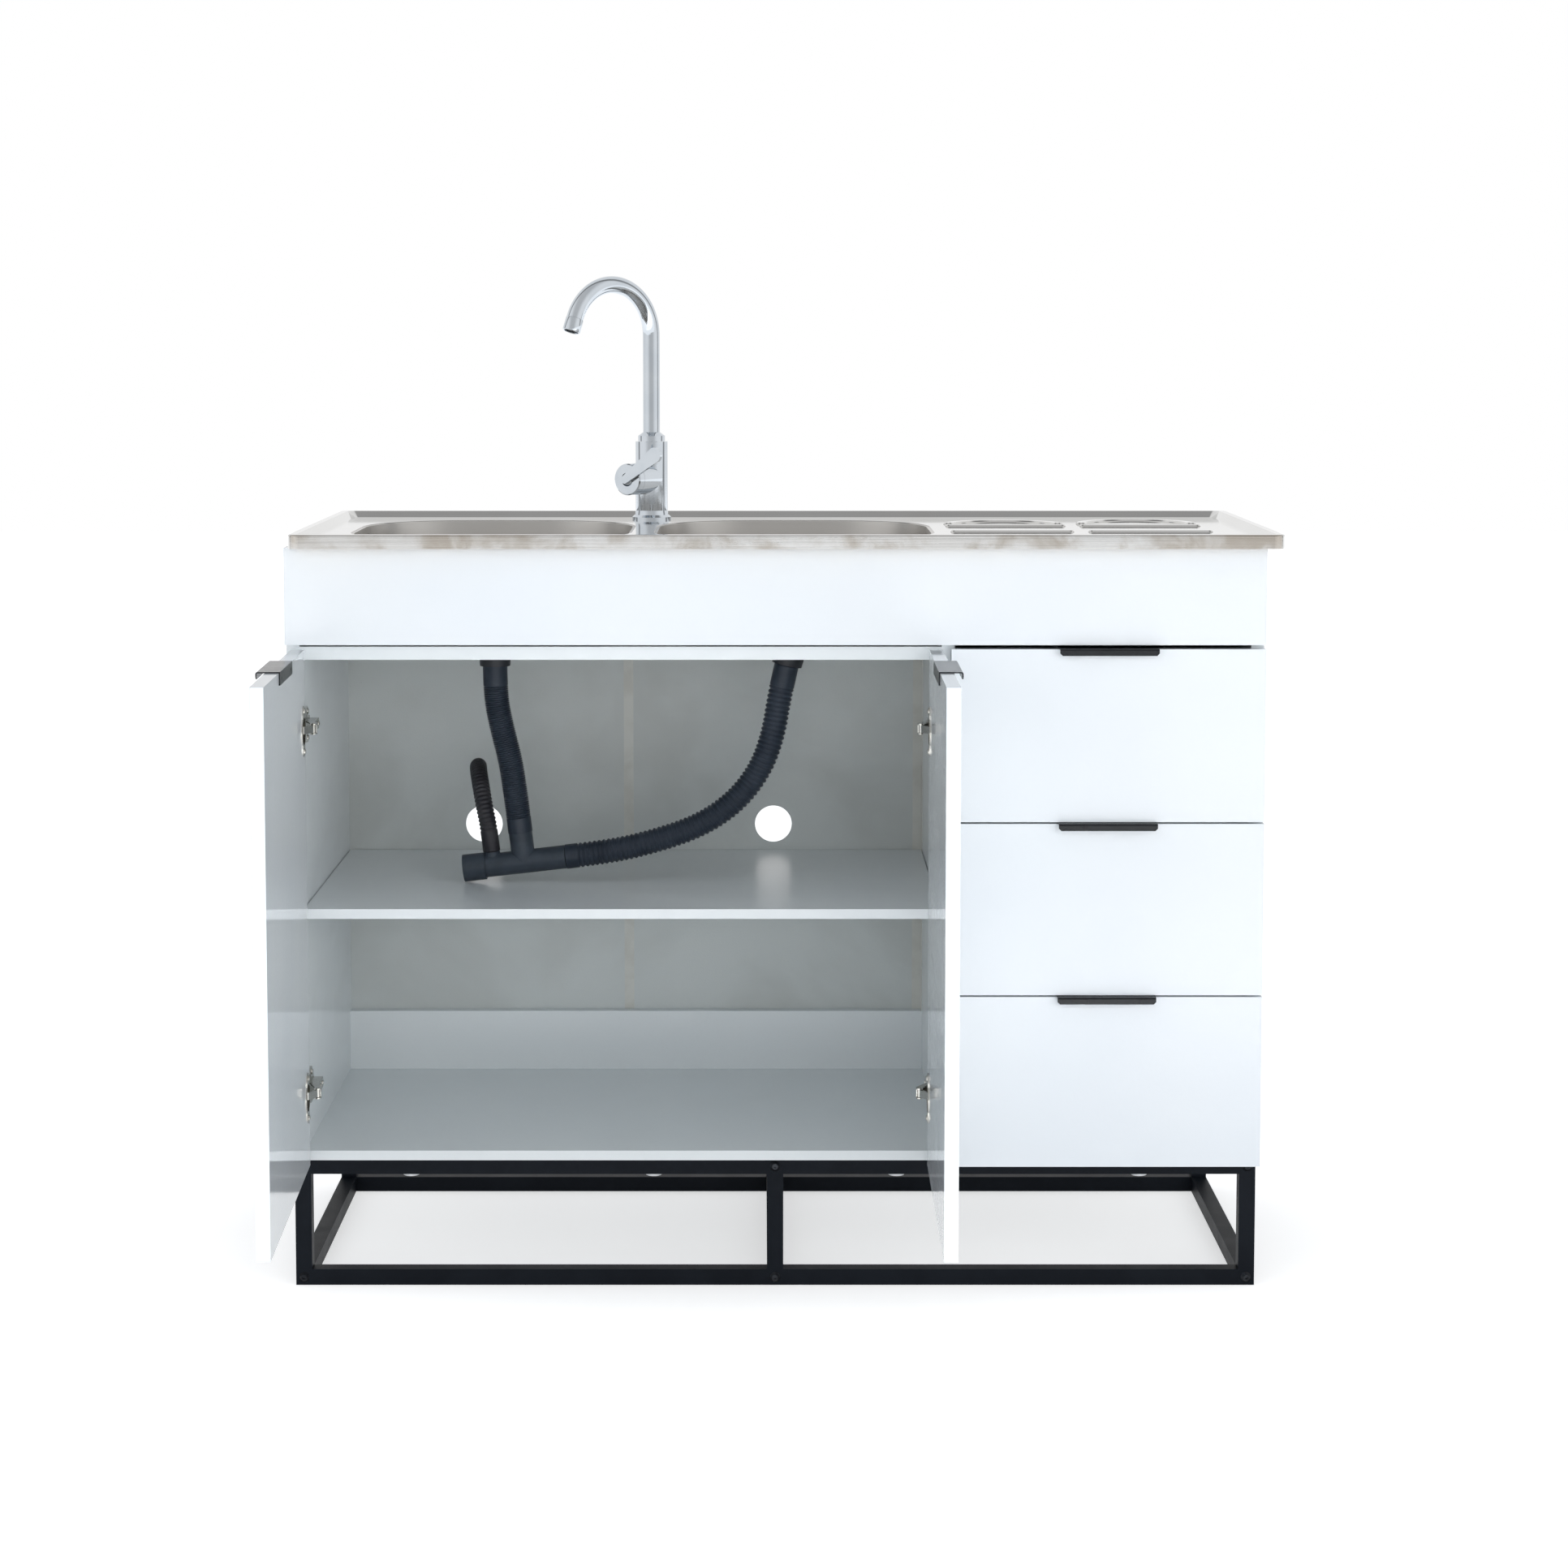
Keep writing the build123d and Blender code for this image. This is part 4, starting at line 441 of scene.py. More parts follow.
def powder_coat(name, main, edge_tone_and_dust, roughness, amount, shine):
    """Pebbled powder coat with a painted edge tone: lighter along the edges of a dark coat as a painted highlight,
    darker along those of a white coat.
    """
    material, tree, shader = new_material(name, IOR=1.5, Specular_IOR_Level=shine)
    # The edge colour is a painted highlight on the dark coats; the same colour also drifts in faintly as dust.
    edges = effect(tree, PAINTED_EDGE_TONE, Main=main, Rubbed=edge_tone_and_dust, Width=0.0011, Amount=amount)
    dust = effect(tree, CLOUDING, Drift=edge_tone_and_dust, Scale=11.0, Amount=0.1)
    wiped = effect(tree, WIPING, Roughness=roughness, Spread=0.08, Scale=12.0)
    skin = effect(tree, PEBBLING, Scale=1100.0, Wave_Scale=60.0, Wave=0.3)
    wire(tree, edges.outputs["Colour"], dust.inputs["Main"])
    dress(
        tree, shader, dust.outputs["Colour"], wiped.outputs["Roughness"],
        skin.outputs["Height"], 0.22, 0.0006,
    )
    return material


def plated(name, main, drift, roughness, spread, ripple):
    """Plated metal, from mirror chrome to dull zinc."""
    material, tree, shader = new_material(name, Metallic=1.0)
    tone = effect(tree, CLOUDING, Main=main, Drift=drift, Scale=30.0, Amount=0.8)
    wiped = effect(tree, WIPING, Roughness=roughness, Spread=spread, Scale=45.0)
    skin = effect(tree, PEBBLING, Scale=800.0, Wave_Scale=55.0, Wave=1.0)
    dress(
        tree, shader, tone.outputs["Colour"], wiped.outputs["Roughness"],
        skin.outputs["Height"], ripple, 0.0004,
    )
    return material


# The front apron, where blotches of painted reflection are laid.
APRON_STARTS_Y, APRON_FULL_Y = -0.262, -0.266


def drawn_steel(name, main, drift, apron_painted_reflection, stretch, roughness, spread, ripple, ripple_scale, depth):
    """Stainless sheet with drawn lines, soft dents from pressing, and a painted reflection along a front apron:
    blotches of a second colour.
    """
    material, tree, shader = new_material(name, Metallic=1.0, Anisotropic=0.35)
    place = put(tree, "ShaderNodeTexCoord")
    along = put(tree, "ShaderNodeSeparateXYZ")
    apron = ranged(tree, along.outputs["Y"], APRON_STARTS_Y, APRON_FULL_Y, kind="LINEAR")
    tone = effect(tree, CLOUDING, Main=srgb(*main), Drift=srgb(*drift), Scale=3.0, Amount=0.5)
    # Blotches painted on the front apron stand in for the mottled reflections of a wavy sheet.
    apron_reflection_patches = effect(tree, CLOUDING, Drift=srgb(*apron_painted_reflection), Scale=17.0)
    lines = effect(
        tree, BRUSHING, Stretch=stretch, Roughness=roughness, Spread=spread,
        Ripple=ripple, Ripple_Scale=ripple_scale,
    )
    wire(
        tree,
        place.outputs["Object"], along.inputs[0],
        apron, apron_reflection_patches.inputs["Amount"],
        tone.outputs["Colour"], apron_reflection_patches.inputs["Main"],
    )
    dress(
        tree, shader, apron_reflection_patches.outputs["Colour"], lines.outputs["Roughness"],
        lines.outputs["Height"], depth, 0.0022,
    )
    return material


LACQUER = gloss_lacquer()
FOIL = foil_board()
HARDBOARD = painted_hardboard()
CHIPS = pressed_chips()
# The second colour of each coat is its painted edge tone (a painted highlight on the dark coats) and its dust.
FRAME_COAT = powder_coat("frame_coat", srgb(18, 22, 28), srgb(46, 52, 60), 0.45, 0.4, 0.08)
HANDLE_COAT = powder_coat("handle_coat", srgb(18, 21, 25), srgb(58, 62, 68), 0.2, 0.4, 0.33)
RUNNER_COAT = powder_coat("runner_coat", srgb(226, 228, 229), srgb(170, 172, 174), 0.35, 0.7, 0.5)
ZINC = plated("zinc_plate", srgb(176, 178, 180), srgb(150, 150, 146), 0.32, 0.1, 0.3)
BLACK_STEEL = plated("blackened_steel", srgb(40, 42, 46), srgb(60, 62, 66), 0.34, 0.1, 0.3)
NICKEL = plated("nickel_plate", srgb(196, 195, 190), srgb(170, 168, 160), 0.22, 0.08, 0.25)
CHROME = plated("mirror_chrome", srgb(206, 212, 218), srgb(198, 205, 212), 0.045, 0.02, 0.03)
BRASS = plated("raw_brass", srgb(196, 164, 96), srgb(160, 128, 70), 0.3, 0.1, 0.3)
# The third colour is the painted reflection on the front apron; for the bowls and strainers it equals the drift,
# so nothing shows.
TOP_STEEL = drawn_steel(
    "top_steel", (216, 216, 215), (206, 204, 201), (178, 171, 162), stretch=(5.0, 420.0, 420.0),
    roughness=0.07, spread=0.03, ripple=0.8, ripple_scale=7.0, depth=0.07,
)
BOWL_STEEL = drawn_steel(
    "bowl_steel", (206, 204, 201), (196, 193, 189), (196, 193, 189), stretch=(9.0, 9.0, 380.0),
    roughness=0.3, spread=0.05, ripple=0.35, ripple_scale=9.0, depth=0.06,
)
STRAINER_STEEL = drawn_steel(
    "strainer_steel", (210, 208, 205), (196, 193, 188), (196, 193, 188), stretch=(200.0, 200.0, 200.0),
    roughness=0.16, spread=0.09, ripple=0.1, ripple_scale=60.0, depth=0.2,
)
WASTE_PLASTIC = moulded_plastic("waste_plastic", srgb(42, 45, 50), srgb(58, 61, 66), 0.42)
NUT_PLASTIC = moulded_plastic("nut_plastic", srgb(40, 42, 47), srgb(56, 58, 62), 0.4)
COLLECTOR_PLASTIC = moulded_plastic("collector_plastic", srgb(50, 58, 67), srgb(64, 72, 82), 0.4)
HOSE_PLASTIC = moulded_plastic("hose_plastic", srgb(40, 48, 59), srgb(52, 60, 71), 0.36)
SMALL_HOSE_PLASTIC = moulded_plastic("small_hose_plastic", srgb(38, 38, 43), srgb(58, 57, 60), 0.4)
STRIP_PLASTIC = moulded_plastic("strip_plastic", srgb(212, 213, 208), srgb(200, 200, 194), 0.45)
CAP_PLASTIC = moulded_plastic("cap_plastic", srgb(226, 228, 230), srgb(206, 208, 210), 0.5)

NODE_FINISHES = (
    (FRAME_COAT, "front_frame rear_frame cross_rails"),
    (BLACK_STEEL, "frame_bolts"),
    (ZINC, "shelf_pins"),
    (CAP_PLASTIC, "screw_caps"),
    (FOIL, "left_side right_side partition bottom_board shelf front_stretcher carcass_rails"),
    (FOIL, "top_drawer_box middle_drawer_box bottom_drawer_box"),
    (HARDBOARD, "back_panel_left back_panel_right top_drawer_bottom middle_drawer_bottom bottom_drawer_bottom"),
    (STRIP_PLASTIC, "back_strips"),
    (LACQUER, "false_front left_door_panel right_door_panel"),
    (LACQUER, "top_drawer_front middle_drawer_front bottom_drawer_front"),
    (HANDLE_COAT, "left_door_handle right_door_handle"),
    (HANDLE_COAT, "top_drawer_handle middle_drawer_handle bottom_drawer_handle"),
    (NICKEL, "left_hinge_cups left_hinge_arms left_hinge_links"),
    (NICKEL, "right_hinge_cups right_hinge_arms right_hinge_links"),
    (RUNNER_COAT, "top_drawer_runners middle_drawer_runners bottom_drawer_runners cabinet_runners"),
    (TOP_STEEL, "sink_deck"),
    (BOWL_STEEL, "left_bowl right_bowl"),
    (STRAINER_STEEL, "left_basket right_basket"),
    (CHIPS, "sink_battens"),
    (WASTE_PLASTIC, "waste_bodies"),
    (NUT_PLASTIC, "waste_nuts"),
    (CHROME, "tap_body tap_spout tap_cap tap_lever"),
    (BRASS, "tap_shank"),
    (COLLECTOR_PLASTIC, "collector"),
    (HOSE_PLASTIC, "left_hose right_hose"),
    (SMALL_HOSE_PLASTIC, "overflow_hose"),
)
for finish, names in NODE_FINISHES:
    for name in names.split():
        NODES[name].data.materials.clear()
        NODES[name].data.materials.append(finish)

# ---- Geometry trees -------------------------------------------------------------------


def geometry_tree(name, inputs):
    """A geometry tree with named inputs, as (tree, its input node, its output node)."""
    tree = bpy.data.node_groups.new(name, "GeometryNodeTree")
    tree.interface.new_socket("Geometry", in_out="INPUT", socket_type="NodeSocketGeometry")
    for label, kind in inputs:
        tree.interface.new_socket(label, in_out="INPUT", socket_type=kind)
    tree.interface.new_socket("Geometry", in_out="OUTPUT", socket_type="NodeSocketGeometry")
    return tree, tree.nodes.new("NodeGroupInput"), tree.nodes.new("NodeGroupOutput")


def grown(name, mesh, tree, **values):
    """A new object from a starting mesh, grown by a geometry tree and turned into a plain mesh."""
    seed = placed(name + "_seed", mesh)
    modifier = seed.modifiers.new(name, "NODES")
    modifier.node_group = tree
    labels = {item.name: item.identifier for item in tree.interface.items_tree if item.in_out == "INPUT"}
    for key, value in values.items():
        modifier[labels[key.replace("_", " ")]] = value
    bpy.context.view_layer.update()
    evaluated = seed.evaluated_get(bpy.context.evaluated_depsgraph_get())
    baked = bpy.data.meshes.new_from_object(evaluated)
    baked.name = name
    seed.modifiers.clear()
    bpy.data.objects.remove(seed)
    return placed(name, baked)


def line_mesh(name, points):
    """A mesh of edges through the points."""
    mesh = bpy.data.meshes.new(name)
    mesh.from_pydata([tuple(p) for p in points], [(i, i + 1) for i in range(len(points) - 1)], [])
    return mesh


def placed_points(name, places):
    """Loose points that carry the way each one faces, for a tree that sets a fixing on each."""
    mesh = bpy.data.meshes.new(name)
    mesh.from_pydata([place for place, _ in places], [], [])
    facing = mesh.attributes.new("facing", "FLOAT_VECTOR", "POINT")
    for index, (_, way) in enumerate(places):
        facing.data[index].vector = way
    return mesh


# ---- Ribbed hoses ---------------------------------------------------------------------


END_REACH, MERGE_REACH = 0.00002, 0.00003
CREST_POWER = 0.7  # under 1 makes the crests wider than the roots


def ribbed_hose_tree():
    """A corrugated tube with smooth cuffs and a real bore, along the line it is given."""
    tree, given, result = geometry_tree(
        "ribbed_hose",
        [
            ("Radius", FLOAT), ("Root Radius", FLOAT), ("Bore Radius", FLOAT), ("Rib Pitch", FLOAT),
            ("Start Cuff", FLOAT), ("End Cuff", FLOAT), ("Cuff Radius", FLOAT), ("Step", FLOAT),
            ("Segments", "NodeSocketInt"), ("Finish", "NodeSocketMaterial"),
        ],
    )
    to_curve = put(tree, "GeometryNodeMeshToCurve")
    even = put(tree, "GeometryNodeResampleCurve", mode="LENGTH")
    along = put(tree, "GeometryNodeSplineParameter")
    whole = put(tree, "GeometryNodeSplineLength")
    here = along.outputs["Length"]
    left = arithmetic(tree, "SUBTRACT", whole.outputs["Length"], here)
    turn = arithmetic(tree, "DIVIDE", here, given.outputs["Rib Pitch"])
    wave = arithmetic(tree, "COSINE", arithmetic(tree, "MULTIPLY", turn, 2 * math.pi))
    crest = arithmetic(tree, "POWER", arithmetic(tree, "MULTIPLY_ADD", wave, 0.5, 0.5), CREST_POWER)
    depth = arithmetic(tree, "SUBTRACT", given.outputs["Radius"], given.outputs["Root Radius"])
    ribbed = arithmetic(tree, "MULTIPLY_ADD", crest, depth, given.outputs["Root Radius"])
    in_start = arithmetic(tree, "LESS_THAN", here, given.outputs["Start Cuff"])
    in_end = arithmetic(tree, "LESS_THAN", left, given.outputs["End Cuff"])
    in_cuff = arithmetic(tree, "MAXIMUM", in_start, in_end)
    cuff_step = arithmetic(tree, "SUBTRACT", given.outputs["Cuff Radius"], ribbed)
    outside = arithmetic(tree, "MULTIPLY_ADD", cuff_step, in_cuff, ribbed)
    at_start = arithmetic(tree, "LESS_THAN", here, END_REACH)
    at_end = arithmetic(tree, "LESS_THAN", left, END_REACH)
    at_lip = arithmetic(tree, "MAXIMUM", at_start, at_end)
    lip_step = arithmetic(tree, "SUBTRACT", given.outputs["Bore Radius"], outside)
    profile = arithmetic(tree, "MULTIPLY_ADD", lip_step, at_lip, outside)
    circle = put(tree, "GeometryNodeCurvePrimitiveCircle", Radius=1.0)
    outer = put(tree, "GeometryNodeCurveToMesh")
    inner = put(tree, "GeometryNodeCurveToMesh")
    flip = put(tree, "GeometryNodeFlipFaces")
    both = put(tree, "GeometryNodeJoinGeometry")
    closed = put(tree, "GeometryNodeMergeByDistance", Distance=MERGE_REACH)
    smooth = put(tree, "GeometryNodeSetShadeSmooth")
    real = put(tree, "GeometryNodeRealizeInstances")
    coat = put(tree, "GeometryNodeSetMaterial")
    wire(
        tree,
        given.outputs["Geometry"], to_curve.inputs["Mesh"],
        to_curve.outputs["Curve"], even.inputs["Curve"],
        given.outputs["Step"], even.inputs["Length"],
        given.outputs["Segments"], circle.inputs["Resolution"],
        even.outputs["Curve"], outer.inputs["Curve"],
        even.outputs["Curve"], inner.inputs["Curve"],
        circle.outputs["Curve"], outer.inputs["Profile Curve"],
        circle.outputs["Curve"], inner.inputs["Profile Curve"],
        profile, outer.inputs["Scale"],
        given.outputs["Bore Radius"], inner.inputs["Scale"],
        inner.outputs["Mesh"], flip.inputs["Mesh"],
        outer.outputs["Mesh"], both.inputs["Geometry"],
        flip.outputs["Mesh"], both.inputs["Geometry"],
        both.outputs["Geometry"], closed.inputs["Geometry"],
        closed.outputs["Geometry"], smooth.inputs["Geometry"],
        smooth.outputs["Geometry"], real.inputs["Geometry"],
        real.outputs["Geometry"], coat.inputs["Geometry"],
        given.outputs["Finish"], coat.inputs["Material"],
        coat.outputs["Geometry"], result.inputs["Geometry"],
    )
    return tree


ROUTE_STEPS = 24


def smooth_route(name, points):
    """Points along one smooth spline that has the route's points as its control points."""
    curve = bpy.data.curves.new(name + "_route", "CURVE")
    curve.dimensions = "3D"
    curve.resolution_u = ROUTE_STEPS
    spline = curve.splines.new("NURBS")
    spline.points.add(len(points) - 1)
    for point, place in zip(spline.points, points):
        point.co = (*place, 1.0)
    spline.order_u = 3
    spline.use_endpoint_u = True
    guide = placed(name + "_route", curve)
    bpy.context.view_layer.update()
    evaluated = guide.evaluated_get(bpy.context.evaluated_depsgraph_get())
    followed = bpy.data.meshes.new_from_object(evaluated)
    path = [v.co.copy() for v in followed.vertices]
    bpy.data.objects.remove(guide)
    bpy.data.meshes.remove(followed)
    return path


HOSE_TREE = ribbed_hose_tree()


def hose(name, node, slot, points, length, radius, far_end, lay, **form):
    """One ribbed hose that stands for its solid."""
    path = smooth_route(name, points)
    piece = grown(name, line_mesh(name + "_line", path), HOSE_TREE, Radius=radius, **form)
    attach(piece, "cabinet")
    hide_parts(node)


hose(
    "left_waste_hose", "left_hose", "hose_plastic",
    [
        (-0.357, -0.038, 0.7516), (-0.357, -0.038, 0.713), (-0.349, -0.038, 0.672),
        (-0.338, -0.038, 0.629), (-0.33076, -0.038, 0.57828), (-0.3260, -0.038, 0.53655),
    ],
    length=0.2179, radius=0.016, far_end="object", lay="hanging",
    Root_Radius=0.0141, Bore_Radius=0.0105, Rib_Pitch=0.00276, Start_Cuff=0.025, End_Cuff=0.019,
    Cuff_Radius=0.0157, Step=0.00046, Segments=40, Finish=HOSE_PLASTIC,
)
hose(
    "right_waste_hose", "right_hose", "hose_plastic",
    [
        (0.01534, -0.038, 0.75281), (0.00589, -0.038, 0.71189), (-0.0015, -0.038, 0.664),
        (-0.018, -0.038, 0.618), (-0.049, -0.038, 0.577), (-0.092, -0.038, 0.547),
        (-0.145, -0.038, 0.5275), (-0.20873, -0.038, 0.51168), (-0.26835, -0.038, 0.50488),
    ],
    length=0.4241, radius=0.016, far_end="object", lay="hanging",
    Root_Radius=0.0139, Bore_Radius=0.0130, Rib_Pitch=0.0062, Start_Cuff=0.029, End_Cuff=0.017,
    Cuff_Radius=0.0157, Step=0.00088, Segments=40, Finish=HOSE_PLASTIC,
)
hose(
    "small_branch_hose", "overflow_hose", "overflow_plastic",
    [
        (-0.36306, -0.038, 0.5120), (-0.36669, -0.038, 0.54379), (-0.3721, -0.0328, 0.567),
        (-0.3771, -0.0198, 0.5885), (-0.3816, -0.0003, 0.6037), (-0.3851, 0.0237, 0.6107),
        (-0.3871, 0.0487, 0.6097),
    ],
    length=0.1567, radius=0.0113, far_end="bare", lay="loose",
    Root_Radius=0.0100, Bore_Radius=0.0087, Rib_Pitch=0.0052, Start_Cuff=0.027, End_Cuff=0.010,
    Cuff_Radius=0.0111, Step=0.00074, Segments=32, Finish=SMALL_HOSE_PLASTIC,
)

# ---- Turned forms ---------------------------------------------------------------------


def ring_of_points(form, radius, height, segments, centre=(0.0, 0.0, 0.0)):
    """A level ring of points in a form, about the centre."""
    x, y, z = centre
    angles = [2 * math.pi * i / segments for i in range(segments)]
    return [form.verts.new((x + radius * math.cos(a), y + radius * math.sin(a), z + height)) for a in angles]


def band(form, low, high):
    """Faces from a ring up to the next one."""
    for i in range(len(low)):
        j = (i + 1) % len(low)
        form.faces.new((low[i], low[j], high[j], high[i]))


def skirt(form, above, below, leave=None):
    """Faces from a ring down to the next one, with every leave-th one left out as a hole."""
    for i in range(len(above)):
        if leave and i % leave == 0:
            continue
        j = (i + 1) % len(above)
        form.faces.new((above[i], below[i], below[j], above[j]))


def finished_mesh(form, name, smooth=True):
    """A mesh of the form, which is freed."""
    mesh = bpy.data.meshes.new(name)
    form.to_mesh(mesh)
    form.free()
    if smooth:
        mesh.shade_smooth()
    return mesh


# ---- Strainer baskets -----------------------------------------------------------------

DISH_PROFILE = (
    (0.0328, 0.0004), (0.0318, 0.0009), (0.0300, 0.0007), (0.0285, -0.0006), (0.0277, -0.0035),
    (0.0270, -0.0070), (0.0256, -0.0093), (0.0232, -0.0101), (0.0212, -0.0102), (0.0190, -0.0102),
    (0.0170, -0.0102), (0.0148, -0.0102), (0.0127, -0.0102), (0.0106, -0.0102), (0.0084, -0.0100),
)
KNOB_PROFILE = (
    (0.0052, -0.0086), (0.0030, -0.0060), (0.0028, 0.0020), (0.0050, 0.0042), (0.0060, 0.0062),
    (0.0056, 0.0078), (0.0030, 0.0086),
)
HOLE_ROWS = {4: 2, 8: 2, 10: 3, 12: 3}  # row of the dish: every how many faces one is a hole
STRAINER_SEGMENTS = 48
SHEET = 0.0007
BASKET_RIM_Z = 0.8026


def strainer(name, node, body, x, y):
    """A pressed strainer: rolled rim, dish with rings of holes and a turned knob."""
    form = bmesh.new()
    rings = [
        ring_of_points(form, radius, height, STRAINER_SEGMENTS, (x, y, BASKET_RIM_Z))
        for radius, height in DISH_PROFILE + KNOB_PROFILE
    ]
    for row, (above, below) in enumerate(zip(rings, rings[1:])):
        skirt(form, above, below, HOLE_ROWS.get(row))
    form.faces.new(list(reversed(rings[-1])))
    bmesh.ops.recalc_face_normals(form, faces=form.faces)
    mesh = finished_mesh(form, name)
    mesh.materials.append(STRAINER_STEEL)
    piece = placed(name, mesh)
    wall = piece.modifiers.new("sheet", "SOLIDIFY")
    wall.thickness = SHEET
    wall.offset = -1.0
    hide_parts(node)
    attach(piece, body)


strainer("left_strainer_basket", "left_basket", "left_strainer", -0.357, -0.038)
strainer("right_strainer_basket", "right_basket", "right_strainer", 0.026, -0.038)

# ---- Tap details ----------------------------------------------------------------------


TURNED_SEGMENTS = 40


def turned_piece(name, body, centre, axis, profile, finish):
    """A ring or dome turned about an axis, from (radius, height) pairs, as one piece on its body."""
    form = bmesh.new()
    turn = Vector(axis).to_track_quat("Z", "Y")
    rings = [ring_of_points(form, radius, height, TURNED_SEGMENTS) for radius, height in profile]
    for point in form.verts:
        point.co = centre + turn @ point.co
    for low, high in zip(rings, rings[1:]):
        band(form, low, high)
    form.faces.new(rings[-1])
    form.faces.new(list(reversed(rings[0])))
    bmesh.ops.recalc_face_normals(form, faces=form.faces)
    mesh = finished_mesh(form, name)
    mesh.materials.append(finish)
    piece = placed(name, mesh)
    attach(piece, body)


def level_way(degrees):
    """A level direction, counted from +X."""
    return Vector((math.cos(math.radians(degrees)), math.sin(math.radians(degrees)), 0.0))


def up(height):
    """A vertical step."""
    return Vector((0.0, 0.0, height))


TAP_FOOT = Vector((-0.164, 0.177, 0.926))
LEVER_WAY = level_way(237)
LEVER_REACH, LEVER_RISE = 0.0513, 0.055
LEVER_PIVOT = TAP_FOOT + LEVER_WAY * LEVER_REACH + up(LEVER_RISE)
BALL_RADIUS = 0.0096
BALL_LEVELS = (0.0, 0.0015, 0.003, 0.0042, 0.0053, 0.0063, 0.0072)
turned_piece(
    "lever_ball_cover", "lever", LEVER_PIVOT, LEVER_WAY,
    [(math.sqrt(BALL_RADIUS**2 - level**2), level) for level in BALL_LEVELS], CHROME,
)
SPOUT_OUT = level_way(222)
NOSE_TURN = math.radians(160)  # from straight up
NOSE_WAY = SPOUT_OUT * math.sin(NOSE_TURN) + up(math.cos(NOSE_TURN))
NOSE_REACH, NOSE_RISE = 0.13612, 0.2510
NOSE_END = TAP_FOOT + SPOUT_OUT * NOSE_REACH + up(NOSE_RISE)
turned_piece(
    "aerator_sleeve", "spout", NOSE_END, NOSE_WAY,
    [
        (0.0098, -0.0172), (0.0113, -0.0172), (0.0117, -0.0166), (0.0117, 0.0), (0.0114, 0.0005),
        (0.0102, 0.0005), (0.0098, -0.0003), (0.0097, -0.0022),
    ], CHROME,
)
turned_piece(
    "aerator_screen", "spout", NOSE_END, NOSE_WAY,
    [
        (0.0095, -0.0036), (0.0095, -0.0022), (0.0078, -0.0018), (0.0076, -0.0026), (0.0052, -0.0026),
        (0.005, -0.0018), (0.0028, -0.0018), (0.0026, -0.0026), (0.0006, -0.0026),
    ], WASTE_PLASTIC,
)

# ---- Screw heads and covers -----------------------------------------------------------


HEAD_SEGMENTS = 24
HEAD_LEVELS = ((1.0, 0.0), (1.0, 0.12), (0.93, 0.3), (0.76, 0.46), (0.55, 0.55))
COVER_LEVELS = ((1.0, 0.0), (0.98, 0.08), (0.86, 0.15), (0.55, 0.2), (0.2, 0.22))
CROSS_REACH, CROSS_HALF, CROSS_LIP, CROSS_FLOOR, CROSS_TAPER = 0.46, 0.11, 0.56, 0.16, 0.7


def stacked_rings(levels):
    """A form of radius 1 that looks up, with faces between its rings, as (form, its top ring)."""
    form = bmesh.new()
    rings = [ring_of_points(form, radius, height, HEAD_SEGMENTS) for radius, height in levels]
    for low, high in zip(rings, rings[1:]):
        band(form, low, high)
    return form, rings[-1]


def crossed_screw():
    """A pan head with a cross recess, to be set on points."""
    form, top = stacked_rings(HEAD_LEVELS)
    arm, half = CROSS_REACH, CROSS_HALF
    outline = [
        (arm, -half), (arm, half), (half, half), (half, arm), (-half, arm), (-half, half),
        (-arm, half), (-arm, -half), (-half, -half), (-half, -arm), (half, -arm), (half, -half),
    ]
    lip = [form.verts.new((x, y, CROSS_LIP)) for x, y in outline]
    sunk = [form.verts.new((x * CROSS_TAPER, y * CROSS_TAPER, CROSS_FLOOR)) for x, y in outline]
    skirt(form, lip, sunk)
    form.faces.new(sunk)
    bridge = [form.edges.get(pair) for loop in (top, lip) for pair in zip(loop, loop[1:] + loop[:1])]
    bmesh.ops.triangle_fill(form, use_beauty=True, edges=bridge)
    bmesh.ops.recalc_face_normals(form, faces=form.faces)
    return finished_mesh(form, "crossed_screw", smooth=False)


def domed_cover():
    """A low domed cover, to be set on points."""
    form, top = stacked_rings(COVER_LEVELS)
    form.faces.new(top)
    return finished_mesh(form, "domed_cover")


def fixings_tree():
    """Sets a head on each point, turned the way the point faces."""
    tree, given, result = geometry_tree(
        "set_fixings", [("Head", "NodeSocketObject"), ("Head Radius", FLOAT), ("Finish", "NodeSocketMaterial")]
    )
    head = put(tree, "GeometryNodeObjectInfo")
    faced = put(tree, "GeometryNodeInputNamedAttribute", data_type="FLOAT_VECTOR")
    faced.inputs["Name"].default_value = "facing"
    turned = put(tree, "FunctionNodeAlignRotationToVector", axis="Z")
    spots = put(tree, "GeometryNodeMeshToPoints")
    set_on = put(tree, "GeometryNodeInstanceOnPoints")
    real = put(tree, "GeometryNodeRealizeInstances")
    coat = put(tree, "GeometryNodeSetMaterial")
    wire(
        tree,
        given.outputs["Geometry"], spots.inputs["Mesh"],
        given.outputs["Head"], head.inputs["Object"],
        faced.outputs["Attribute"], turned.inputs["Vector"],
        spots.outputs["Points"], set_on.inputs["Points"],
        head.outputs["Geometry"], set_on.inputs["Instance"],
        turned.outputs["Rotation"], set_on.inputs["Rotation"],
        given.outputs["Head Radius"], set_on.inputs["Scale"],
        set_on.outputs["Instances"], real.inputs["Geometry"],
        real.outputs["Geometry"], coat.inputs["Geometry"],
        given.outputs["Finish"], coat.inputs["Material"],
        coat.outputs["Geometry"], result.inputs["Geometry"],
    )
    return tree


FIXINGS_TREE = fixings_tree()
SCREW_HEAD = bpy.data.objects.new("screw_head_form", crossed_screw())
COVER_HEAD = bpy.data.objects.new("cover_form", domed_cover())


def fixings(name, body, places, radius, finish, head):
    """Heads on the listed (place, way) pairs, in metres, as one piece on its body."""
    spots = placed_points(name + "_spots", places)
    piece = grown(name, spots, FIXINGS_TREE, Head=head, Head_Radius=radius, Finish=finish)
    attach(piece, body)


